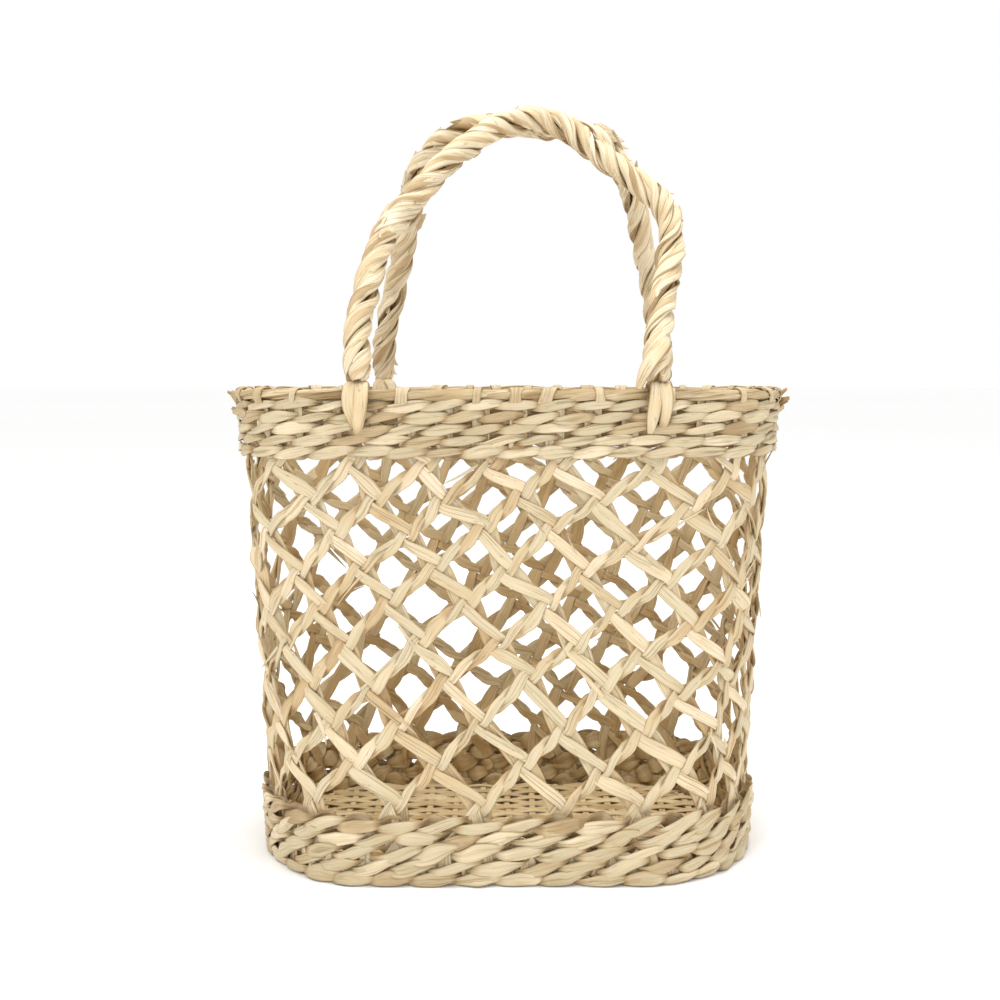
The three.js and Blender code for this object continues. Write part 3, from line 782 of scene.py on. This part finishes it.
def weavers(z, size, number, shift):
    """The two weavers of one row; shift moves its stitches on by a share of an upright"""
    blades = []
    for part in (0, 1):
        rng = np.random.default_rng([21, number, part])
        first = SEAM + part + 2 * (number % 3)
        m = np.arange(first, first + 2 * STAKES + OVERLAP, 1 / STITCH_POINTS)
        # the stitch that this place belongs to, how far from its middle it is, and what is the stitch's own
        stitch = np.round((m + part) / 2)
        place = np.abs(m + part - 2 * stitch)
        stitch = (stitch - stitch[0]).astype(int)
        steep, lift, wide, light = rng.normal(0, 1, (stitch[-1] + 1, 4))[stitch].T
        turn = math.pi * (m + part)
        out = squared(np.cos(turn) + 0.45, 0.5)
        shape = stitch_width(place, size["tip"])
        width = size["width"] * shape * (1 + 0.13 * wide) * ends_round(len(m), 5)
        z_here = z + size["rise"] * (1 + 0.4 * steep) * np.sin(turn) + size["wander"] * lift * (1 - place)
        z_here = np.maximum(z_here, width / 2 + CLEAR)
        share = upright_share(m + shift) + drift(rng, len(m), 16, 0.9) / way_round(z)
        point, level = wall(share, z_here)
        radial = size["centre"] + size["swing"] * out + drift(rng, len(m), 10, 0.14)
        # painted shade: darker where a stitch dives behind its upright
        tucked_shade = np.clip((place - 0.38) / 0.25, 0, 1) - 0.75 * np.clip((place - 0.72) / 0.2, 0, 1)
        tone = 0.66 + 0.2 * light + drift(rng, len(m), 12, 0.1) - 0.75 * tucked_shade
        thick = size["thick"] * ends_round(len(m), 5) * (0.55 + 0.45 * shape)
        roll = 0.16 * np.sin(turn) + drift(rng, len(m), 8, 0.24)
        blades.append(blade(rng, point + level * radial[:, None], level, width, thick, tone, roll))
    return blades


def row_middle(name):
    low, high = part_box(name)
    return (low[2] + high[2]) / 2 / MM


def build_rows():
    for band, size, crease, first in (("rim", RIM_ROW, 0.8, 10), ("base", BASE_ROW, 1.0, 0)):
        for row in range(1, 6):
            name = f"{band}_row_{row}"
            blades = weavers(row_middle(name), size, first + row, shift=(row + 1) % 2 / 2)
            make_piece(f"{name}_weavers", blades, ROW_LEAF, "basket", [name], roundness=1.0,
                       crown=0.35, fold=1.5, crease=crease, crease_length=16.0)


build_rows()
print("rows:", TOTAL)


# %% [markdown]
# ## Folded border
# Above the last row the uprights are folded over and laid along the rim, so the border is a bundle
# of blades with a short wrap over it at each upright.

# %% Border
BORDER_STRANDS, BORDER_TURNS = 5, 7
# the bundle in mm: height of its middle and half its height, middle outwards from the wall and half depth
BORDER_MIDDLE, BORDER_RISE, BORDER_OUT, BORDER_SWING = 227.7, 1.35, 1.75, 2.2
# the way of a wrap over the border: (outwards from the wall, height)
ARCH = np.array([[3.4, 223.2], [4.9, 225.4], [5.3, 228.0], [4.5, 229.9], [3.0, 230.75], [1.2, 230.9],
                 [-0.4, 230.5], [-1.5, 229.2], [-1.75, 227.2], [-1.5, 225.2]])
ARCH_POINTS, ARCH_MIDDLE = 28, 229
# four uprights in five show a wrap
WRAPPED = 0.8


def border_strands():
    blades = []
    for part in range(BORDER_STRANDS):
        rng = np.random.default_rng([31, part])
        # a strand goes once round, from behind the basket, and each starts a little after the last
        share = np.linspace(0.45 + part * 0.03, 1.46 + part * 0.03, 420)
        turn = 2 * math.pi * (share * BORDER_TURNS + part / BORDER_STRANDS)
        swing, rise = np.cos(turn), np.sin(turn)
        z = BORDER_MIDDLE + BORDER_RISE * rise + drift(rng, len(share), 16, 0.18)
        radial = BORDER_OUT + BORDER_SWING * swing + drift(rng, len(share), 16, 0.2)
        point, level = wall(share, z)
        path = point + level * radial[:, None]
        outs = unit(level * swing[:, None] * 0.9 + UP * rise[:, None] + level * 0.4)
        tone = np.clip(rng.uniform(0.25, 0.85) + drift(rng, len(share), 11, 0.35), 0, 1)
        width = (3.6 + drift(rng, len(share), 13, 0.35)) * ends_round(len(share), 5)
        blades.append(blade(rng, path, outs, width, 1.5, tone, drift(rng, len(share), 12, 0.25)))
    return blades


def over_rim(level, steps):
    """Direction square to a line that crosses the rim, from its steps outwards and up"""
    return level * steps[:, 1:] - UP * steps[:, :1]


def border_wraps():
    """Short ribbons over the border: up the outer side, across the top and down inside"""
    blades = []
    rng = np.random.default_rng(33)
    fine = np.linspace(0, len(ARCH) - 1, ARCH_POINTS)
    arch = np.stack([np.interp(fine, np.arange(len(ARCH)), ARCH[:, k]) for k in (0, 1)], 1)
    for m in range(2 * STAKES):
        lean = rng.normal(0, 1.6)
        along = rng.normal(0, 1.6) + np.linspace(-lean, lean, len(arch))
        point, level = wall(upright_share(m) + along / way_round(ARCH_MIDDLE), arch[:, 1])
        outs = unit(over_rim(level, np.gradient(arch, axis=0)))
        width = rng.uniform(3.0, 6.8) * (1 + drift(rng, len(arch), 6, 0.14))
        if rng.uniform() < WRAPPED:
            path = point + level * arch[:, :1]
            blades.append(blade(rng, path, outs, width, 0.8, rng.uniform(0.25, 0.85)))
    return blades


make_piece("rim_border_strands", border_strands(), BORDER_LEAF, "basket", ["rim_border"],
           crown=0.4, fold=1.5, crease=1.1)
make_piece("rim_border_wraps", border_wraps(), WRAP_LEAF, "basket", crown=0.3, crease=0.35)
print("border:", TOTAL)


# %% [markdown]
# ## Woven floor
# The floor is a mat of blades that run from side to side, woven over and under narrow cross blades.

# %% Floor mat
# mm from blade to blade, and from cross blade to cross blade; how far they pass over and under each other
MAT_PITCH, CROSS_PITCH, MAT_WAVE = 4.5, 14.0, 0.75
MAT_BLADES, CROSS_BLADES = 26, 17
# the floor's outline is the wall's at this height
MAT_LEVEL = 3.0


def half_reach(place, this_way, other_way, radius, past):
    """Half the floor's length one way, at a place the other way, that ends so far past the outline"""
    over = max(0.0, abs(place) - (other_way - radius))
    return this_way - radius + math.sqrt(max(0.0, (radius + past) ** 2 - over ** 2))


def floor_blades():
    blades = []
    rng = np.random.default_rng(41)
    half_w, half_d, radius = [float(v) for v in plan_at(MAT_LEVEL)]
    for row in range(MAT_BLADES):
        y = (row - (MAT_BLADES - 1) / 2) * MAT_PITCH
        half = half_reach(y, half_w, half_d, radius, past=1.2)
        x = np.arange(-half, half + 1, 2.0)
        wave = np.cos(math.pi * (x / CROSS_PITCH + row % 2))
        path = np.stack([x, y + drift(rng, len(x), 9, 0.4), 2.1 + MAT_WAVE * wave], 1)
        tone = np.clip(rng.uniform(0.1, 0.9) + drift(rng, len(x), 9, 0.15), 0, 1)
        width = 4.7 + drift(rng, len(x), 8, 0.4)
        blades.append(blade(rng, path, UP, width, 1.0, tone, drift(rng, len(x), 9, 0.12)))
    for column in range(CROSS_BLADES):
        x = (column - CROSS_BLADES // 2) * CROSS_PITCH
        half = half_reach(x, half_d, half_w, radius, past=1.0)
        y = np.arange(-half, half + 1, 1.5)
        wave = np.cos(math.pi * (y / MAT_PITCH + (MAT_BLADES - 1) / 2 + column % 2))
        path = np.stack([x + drift(rng, len(y), 12, 0.8), y, 2.0 - MAT_WAVE * wave], 1)
        blades.append(blade(rng, path, UP, 3.4, 0.9, rng.uniform(0.1, 0.9)))
    return blades


make_piece("floor_mat_weave", floor_blades(), MAT_LEAF, "basket", ["floor_mat"], crease=0.4)
print("floor:", TOTAL)


# %% [markdown]
# ## Loose fibres
# Blades split while they are woven, so thin fibres and short leaf ends stand off the wall, along the rim
# and at its two ends most of all. They follow a stake for a while and then lift away.

# %% Loose fibres
FIBRES = 70
RIM_STUBS = 24
# shares of the way round, at the right and the left end as seen from the front
NARROW_ENDS = (0.215, 0.785)


def loose_fibres():
    rng = np.random.default_rng(81)
    ends = []
    for _ in range(FIBRES):
        lean = rng.choice(["right", "left"])
        _, share, z = stake_places(lean, int(rng.integers(0, STAKES)))
        start = int(rng.integers(14, len(z) - 22))
        steps = int(rng.integers(6, 13))
        index = start + np.arange(steps) * rng.choice([-1, 1])
        at = np.linspace(0, 1, steps)
        point, normal = wall(share[index], z[index])[0], wall_normal(share[index], z[index])
        lateral = np.cross(normal, unit(np.gradient(point, axis=0)))
        aside = rng.choice([-1, 1]) * (rng.uniform(2.0, 4.0) + rng.uniform(0, 2.5) * at ** 2)
        lift = 1.2 + rng.uniform(0.4, 2.6) * at ** 2
        path = point + normal * lift[:, None] + lateral * aside[:, None]
        width = rng.uniform(0.6, 2.4) * (1 - at ** 3) + 0.25
        tone, roll = rng.uniform(0.4, 1.0), rng.normal(0, 0.8) * at
        ends.append(blade(rng, path, normal, width, 0.45, tone, roll, every=4))
    return ends


def rim_stubs():
    """Short leaf ends round the border; three in four stand at its two narrow ends"""
    rng = np.random.default_rng(83)
    at = np.linspace(0, 1, 7)
    ends = []
    for number in range(RIM_STUBS):
        share = rng.choice(NARROW_ENDS) + rng.normal(0, 0.018) if number % 4 else rng.uniform(0, 1)
        along = share + rng.choice([-1, 1]) * rng.uniform(2, 6) * at / way_round(HEIGHT)
        height = rng.uniform(217, 227) + rng.uniform(0, 5) * at
        point, level = wall(along, height)
        path = point + level * (4.4 + rng.uniform(1.5, 5.0) * at ** 2)[:, None]
        width = rng.uniform(2.4, 5.0) * (1 - 0.5 * at ** 2)
        tone, roll = rng.uniform(0.3, 0.9), rng.normal(0, 0.4) * at
        ends.append(blade(rng, path, level, width, 0.8, tone, roll, every=4))
    return ends


make_piece("loose_fibres", loose_fibres(), WALL_LEAF, "basket", sides=8, crown=0.1,
           crease=0.15)
make_piece("rim_stubs", rim_stubs(), BORDER_LEAF, "basket", sides=10, crown=0.2,
           crease=0.3)
print("loose fibres:", TOTAL)


# %% [markdown]
# ## Rope handles
# Each handle is a loop of three-strand rope. A strand is a twist of several leaves, and three of them
# show: a thick one that is its body, a broad one wound over it, and a narrow one ahead of that. The
# strands wind round the handle's centre line, which comes first, once every 42 to 50 mm.

# %% Lines of the handles
HALF_SPAN = 70.0
# mm along a rope in which its strands wind once round it
ROPE_LAY = {"front": 42.0, "back": 50.0}
# how far the rope's round end reaches below the pivot
ROPE_END = 7.0
RIM_MIDDLE = abs(frame["joints"][0]["pos_m"][1]) / MM
# from the pivots to the top of a loop: up, and in over the basket
RISE, LEAN_IN = 127.5, RIM_MIDDLE - 8.0
# each centre line from left to right, as shares of half the span and of the rise
FRONT_SHARES = [
    (-1, 0), (-1.01, .12), (-.97, .27), (-.91, .42), (-.8, .56), (-.64, .67), (-.47, .79), (-.24, .9),
    (-.01, .98), (.24, 1), (.47, .94), (.72, .82), (.94, .72), (1.07, .65), (1.14, .55), (1.13, .43),
    (1.06, .27), (1.01, .12), (.98, 0)]
BACK_SHARES = [
    (-1.01, 0), (-.99, .14), (-.91, .31), (-.82, .49), (-.77, .65), (-.71, .78), (-.59, .89), (-.38, .97),
    (-.11, 1), (.19, 1), (.47, .985), (.7, .94), (.86, .85), (.98, .72), (1.05, .57), (1.13, .4),
    (1.21, .22), (1.28, 0)]
# name, the side that it stands on, and centre line
HANDLES = (("front", -1, FRONT_SHARES), ("back", 1, BACK_SHARES))


def smooth_line(points, spacing):
    """Catmull-Rom curve through the points, resampled at an even spacing"""
    p = np.array(points, float)
    p = np.concatenate([[2 * p[0] - p[1]], p, [2 * p[-1] - p[-2]]])
    t = np.linspace(0, 1, 24, endpoint=False)[:, None]
    parts = []
    for a, b, c, d in zip(p[:-3], p[1:-2], p[2:-1], p[3:]):
        parts.append(0.5 * (2 * b + (c - a) * t + (2 * a - 5 * b + 4 * c - d) * t ** 2
                            + (3 * b - a - 3 * c + d) * t ** 3))
    line = np.concatenate(parts + [p[-2:-1]])
    length = np.concatenate([[0], np.cumsum(np.linalg.norm(np.diff(line, axis=0), axis=1))])
    even = np.linspace(0, length[-1], int(length[-1] / spacing) + 1)
    return np.stack([np.interp(even, length, line[:, k]) for k in range(3)], 1), even


def handle_line(shares, facing):
    """A handle's centre line, with a straight end below each pivot, and its length so far"""
    foot = ROPE_END / RISE
    shares = [(shares[0][0], -foot)] + shares + [(shares[-1][0], -foot)]
    points = [(a * HALF_SPAN, facing * (RIM_MIDDLE - u * LEAN_IN), PIVOT + u * RISE) for a, u in shares]
    return smooth_line(points, 1.2)


def rope_frame(shares, facing):
    """The centre line, its length so far, and its directions: along, inwards of the loop, across"""
    line, length = handle_line(shares, facing)
    travel = unit(np.gradient(line, axis=0))
    across = unit(np.array([0, RISE, facing * LEAN_IN]))
    side = unit(np.cross(across, travel))
    return line, length, travel, side, np.cross(travel, side)


print("length of the ropes:", {place: round(float(handle_line(shares, facing)[1][-1]))
                               for place, facing, shares in HANDLES}, "mm")


# %% [markdown]
# ## Strands of the ropes
# Each leaf follows the centre line at its own distance and turn. At the front right foot one strand has
# come loose and flares out beside the rope.

# %% Rope strands
# the leaves of a strand: mm from the centre line, width, thickness, tilt and turn ahead of the strand
ROPE_LEAVES = ((2.8, 5.6, 5.2, 0.0, 0.0), (4.5, 7.6, 2.2, 0.24, 0.0), (5.0, 4.0, 1.3, 0.05, -0.42))


def rope_blades(shares, facing, lay, number):
    """Three strands of three leaves; number makes this rope's draws its own"""
    line, length, _, side, across = rope_frame(shares, facing)
    # towards each foot the strands close up into a round end about the pivot
    from_foot = np.minimum(length, length[-1] - length)
    closed = np.clip(from_foot / 6.0, 0, 1) ** 0.5
    fade = ends_round(len(line), 3) * (0.8 + 0.2 * closed)
    blades = []
    for strand in range(3):
        rng = np.random.default_rng([51, number, strand])
        angle = 2 * math.pi * (length / lay + strand / 3) + drift(rng, len(line), 14, 0.2)
        for leaf, (reach, wide, deep, tilt, ahead) in enumerate(ROPE_LEAVES):
            # the body is darker, which is painted shade where it shows between the broad leaves, and more
            # even; the narrow leaf strays most
            body = leaf == 0
            turn = angle + ahead + drift(rng, len(line), 9, 0.12 + 0.1 * (leaf == 2))
            around = side * np.cos(turn)[:, None] + across * np.sin(turn)[:, None]
            radius = (reach + drift(rng, len(line), 9, 0.2 if body else 0.45)) * (0.72 + 0.28 * closed)
            path = line + around * radius[:, None]
            width = (wide + drift(rng, len(line), 7, 0.5 if body else 1.0)) * fade
            thick = (deep + drift(rng, len(line), 9, 0.3 if deep > 2 else 0.15)) * fade
            tone = rng.uniform(0.45, 0.85) + drift(rng, len(line), 12, 0.16) - 0.35 * body
            roll = tilt + drift(rng, len(line), 7, 0.2)
            blades.append(blade(rng, path, around, width, thick, tone, roll, every=9, creased=0.5))
    return blades


# a strand that leaves the rope at its foot and lies down beside it on the rim: places across the foot,
# up the leg from the pivot and out from the plane of the loop
FLARE = [(5.2, 14.5, 2.6), (3.2, 9.0, 6.0), (0.2, 4.5, 7.4), (-2.8, 0.5, 7.6), (-5.4, -3.6, 6.6),
         (-7.4, -7.4, 4.2), (-8.4, -10.6, 0.8)]


def flare(rng, foot, facing):
    """The loose strand beside a foot of the rope; foot is its place across the basket"""
    up = unit(np.array([0, -facing * LEAN_IN, RISE]))
    out = unit(np.array([0, facing * RISE, LEAN_IN]))
    line, length = smooth_line(FLARE, 0.9)
    path = np.array([foot, facing * RIM_MIDDLE, PIVOT]) + line[:, 1:2] * up + line[:, 2:] * out
    path[:, 0] += line[:, 0]
    outs = unit(out * line[:, 2:] + 0.45 * line[:, :1] * np.array([1.0, 0, 0]) + out * 2.0)
    at = length / length[-1]
    width = 7.2 * np.sin(math.pi * (0.12 + 0.72 * at)) ** 0.6
    tone, roll = 0.4 + drift(rng, len(line), 12, 0.12), drift(rng, len(line), 12, 0.15)
    return blade(rng, path, outs, width, 1.6, tone, roll, every=9, creased=0.2)


def build_handles():
    for number, (place, facing, shares) in enumerate(HANDLES):
        name = f"{place}_handle"
        blades = rope_blades(shares, facing, ROPE_LAY[place], number)
        if place == "front":
            blades.append(flare(np.random.default_rng([53, number]), shares[-1][0] * HALF_SPAN, facing))
        make_piece(f"{name}_strands", blades, ROPE_LEAF, name, [name], sides=24,
                   roundness=1.0, crown=0.5, fold=0.6, crease=0.8, crease_length=15.0, across=1.9)


build_handles()
print("handles:", TOTAL)


# %% [markdown]
# ## Loose ends of the ropes
# Dried leaves are short, so a rope is full of leaf ends that stand off it, and the photograph shows the
# largest ones clearly. Each end is a small blade that follows the rope and then lifts away from it.

# %% Loose ends of the ropes
# for each large end: where it starts in mm across and up, turn about the rope (0 towards the inside of
# the loop, half round towards the outside), length along the rope (negative: back along it), lift, width
LOOSE_ENDS = {
    "front": [(-66, 303, 3.0, 17, 3.5, 7.0), (-62, 311, 3.3, 13, 3.0, 6.0), (64, 334, 2.9, 10, 2.6, 3.0),
              (72, 329, 3.3, 9, 3.0, 3.4), (80, 322, 2.8, 9, 3.2, 4.4), (84, 313, 3.4, -8, 2.4, 4.0),
              (-76, 262, 3.1, 9, 2.0, 4.0), (-14, 366, 3.2, -8, 1.6, 3.6)],
    "back": [(44, 368, 3.1, 15, 3.2, 7.4), (49, 365, 3.3, 13, 4.6, 5.4), (53, 360, 2.8, 11, 4.4, 2.6),
             (57, 352, 3.3, -12, 4.6, 4.2), (66, 338, 3.1, -13, 4.2, 3.4), (-52, 316, 0.2, 13, 5.0, 6.4),
             (-50, 326, 0.1, 12, 5.6, 2.2), (-42, 363, 3.0, 10, 2.4, 2.8), (-52, 350, 3.3, 9, 2.2, 3.0),
             (-56, 338, 3.0, 10, 2.0, 3.2), (-20, 368, 3.2, -9, 2.2, 3.6), (38, 369, 3.3, 9, 2.6, 2.4),
             (-68, 248, 0.4, -9, 3.6, 3.0), (-66, 244, -0.3, -8, 3.0, 2.4)],
}
SMALL_ENDS = 30
# mm from the centre line to where a loose end lies on the rope
ROPE_SKIN = 4.9


def loose_end(rng, rope, start, turn, reach, lift, width, roll):
    """A leaf end from one place on the rope; reach is its length along it, width is in mm"""
    line, _, _, side, across = rope
    steps = max(5, int(abs(reach) / 1.2))
    index = np.clip(start + np.arange(steps) * (1 if reach > 0 else -1), 4, len(line) - 5)
    at = np.linspace(0, 1, steps)
    around = side[index] * math.cos(turn) + across[index] * math.sin(turn)
    path = line[index] + around * (ROPE_SKIN + lift * at ** 2)[:, None]
    leaf = width * (1 - at ** 2) ** 0.7 * np.minimum(1, 0.4 + 2 * at)
    tone = rng.uniform(0.3, 0.9) + 0.1 * at
    return blade(rng, path, around, leaf + 0.25, 0.9 - 0.4 * at, tone, roll, every=4)


def build_loose_ends():
    for number, (place, facing, shares) in enumerate(HANDLES):
        rng = np.random.default_rng([71, number])
        rope = rope_frame(shares, facing)
        ends = []
        for x, z, turn, reach, lift, width in LOOSE_ENDS[place]:
            start = int(np.argmin(np.hypot(rope[0][:, 0] - x, rope[0][:, 2] - z)))
            ends.append(loose_end(rng, rope, start, turn, reach, lift, width, rng.uniform(0.7, 1.4)))
        for _ in range(SMALL_ENDS):
            start = int(rng.integers(12, len(rope[0]) - 12))
            reach = rng.uniform(6, 12) * rng.choice([-1, 1])
            turn, lift = rng.uniform(0, 2 * math.pi), rng.uniform(0.8, 2.0)
            width, roll = rng.uniform(2.0, 4.4), rng.normal(0, 0.8)
            ends.append(loose_end(rng, rope, start, turn, reach, lift, width, roll))
        make_piece(f"{place}_handle_loose_ends", ends, ROPE_LEAF, f"{place}_handle",
                   sides=10, crown=0.2, fold=0.6, crease=0.3)


build_loose_ends()
print("loose rope ends:", TOTAL)


# %% [markdown]
# ## Rope ends
# Below each foot the rope's strands are pulled over the rim and tucked in under a stitch of the third
# row. The ends start under the rope's round foot, so that it clears them when it swings, and a broad
# strand lies over the rim beneath them like a saddle, so that rope and ends read as one.

# %% Rope ends
def rim_share_across(across, facing):
    """Share of the way round where the rim band is this far from the middle"""
    half_w, half_d, radius = [float(v) for v in plan_at(HEIGHT)]
    flat = half_w - radius
    beyond = max(0.0, abs(across) - flat)
    turned = math.asin(min(1.0, beyond / (radius + RIM_ROW["centre"]))) * radius
    distance = math.copysign(abs(across) - beyond + turned, across)
    share = distance / float(way_round(HEIGHT))
    return share if facing < 0 else 0.5 - share


# the ways of the ends, outside and inside the basket: (outwards from the wall, height)
OUTSIDE = [(1.9, 233.5), (4.4, 233.0), (6.2, 231.0), (6.9, 227.0), (6.6, 222.0), (6.0, 217.0), (2.6, 210.8)]
OVER = [(2.6, 233.8), (5.4, 232.9), (7.2, 230.6), (7.9, 226.5), (7.6, 221.6), (6.9, 216.6), (3.4, 210.8)]
INSIDE = [(-0.6, 233.8), (-2.8, 233.3), (-4.3, 231.4), (-4.7, 227.0), (-3.4, 221.0)]
SADDLE = [(-3.9, 225.5), (-4.1, 229.5), (-2.4, 232.3), (0.6, 233.2), (3.6, 232.7), (5.9, 230.3),
          (6.3, 226.0)]
STRAIGHT = (0.0,) * len(SADDLE)
# the ends at each foot: (route, places to the right of the foot along it, width, how far it stops short)
ENDS = {
    "front_left": [(OUTSIDE, (-1.0, -1.9, -2.8, -3.5, -3.2, -1.8, 0.0), 6.0, 0.0),
                   (OVER, (1.6, 2.2, 2.6, 2.4, 1.8, 1.1, 0.4), 7.4, -0.6),
                   (SADDLE, STRAIGHT, 9.5, 0.0),
                   (INSIDE, (1.0, 1.5, 2.0, 2.5, 3.0), 6.5, 0.0)],
    "front_right": [(OVER, (0.2, -0.1, -0.3, -0.8, -1.5, -2.2, -2.8), 6.4, -0.8),
                    (OUTSIDE, (3.4, 3.6, 3.9, 4.2, 4.2, 3.6, 2.6), 5.8, 0.3),
                    (SADDLE, (0.5,) * len(SADDLE), 9.5, 0.0)],
    "back_left": [(OUTSIDE, (1.0, 2.4, 3.6, 4.2, 4.0, 3.0, 2.0), 6.2, 0.0),
                  (OUTSIDE, (-1.0, -2.2, -3.2, -3.6, -3.4, -2.4, -1.4), 6.0, 0.6),
                  (INSIDE, (0.5, -1.0, -2.6, -3.6, -4.2), 5.6, 0.0),
                  (INSIDE, (1.0, 2.6, 4.4, 5.6, 6.6), 5.0, 0.6),
                  (SADDLE, STRAIGHT, 9.5, 0.0)],
    "back_right": [(OUTSIDE, (0.6, 2.0, 3.2, 3.8, 3.6, 2.4, 1.6), 6.4, 0.4),
                   (OUTSIDE, (-1.2, -2.2, -3.2, -3.6, -3.2, -2.6, -1.0), 6.0, 0.0),
                   (INSIDE, (0.0, -0.6, -1.2, -1.4, -1.2), 6.8, 0.0),
                   (SADDLE, STRAIGHT, 9.5, 0.0)],
}


def rope_end(rng, share, route, sideways, width, short):
    """One leaf end; share is the foot's place on the rim"""
    points = np.array([(side, out, z) for side, (out, z) in zip(sideways, route)])
    points[:, 2] += short * np.linspace(0, 1, len(points))
    line, length = smooth_line(points, 0.8)
    point, level = wall(share + line[:, 0] / way_round(HEIGHT), HEIGHT)
    path = point + level * line[:, 1:2]
    path[:, 2] = line[:, 2]
    # its flat face looks away from the wall, also where it comes down inside
    turned = -1 if route[-1][0] > 0 else 1
    outs = unit(turned * over_rim(level, unit(np.gradient(line[:, 1:], axis=0))))
    at = length / length[-1]
    leaf = width * np.sin(math.pi * (0.26 + 0.66 * at)) ** 0.6
    thick = 1.9 * np.sin(math.pi * (0.05 + 0.9 * at)) ** 0.5
    # painted shade: the last fifth of an end, where it goes in under a stitch, is darker
    tone = rng.uniform(0.2, 0.65) + drift(rng, len(line), 14, 0.12) - 0.3 * np.clip(at * 5 - 4, 0, 1)
    roll = drift(rng, len(line), 12, 0.18)
    return blade(rng, path, outs, leaf, thick, tone, roll, every=9, creased=0.2)


def build_rope_ends():
    for place, facing, shares in HANDLES:
        for hand, foot in (("left", shares[0]), ("right", shares[-1])):
            rng = np.random.default_rng([61, facing < 0, hand == "left"])
            share = rim_share_across(foot[0] * HALF_SPAN, facing)
            # places are given to the right as seen from the front, and shares run the other way behind
            blades = [rope_end(rng, share, route, [-facing * side for side in sideways], width, short)
                      for route, sideways, width, short in ENDS[f"{place}_{hand}"]]
            name = f"{place}_{hand}_lashing"
            make_piece(f"{name}_tails", blades, ROPE_LEAF, "basket", [name], sides=20,
                       roundness=0.85, crown=0.6, fold=1.0, crease=0.9, across=1.6)


build_rope_ends()
print("rope ends:", TOTAL)


# %% [markdown]
# ## Size and finish
# The pieces and their triangles, counted as they were made.

# %% Finish
print("pieces and triangles:", TOTAL)
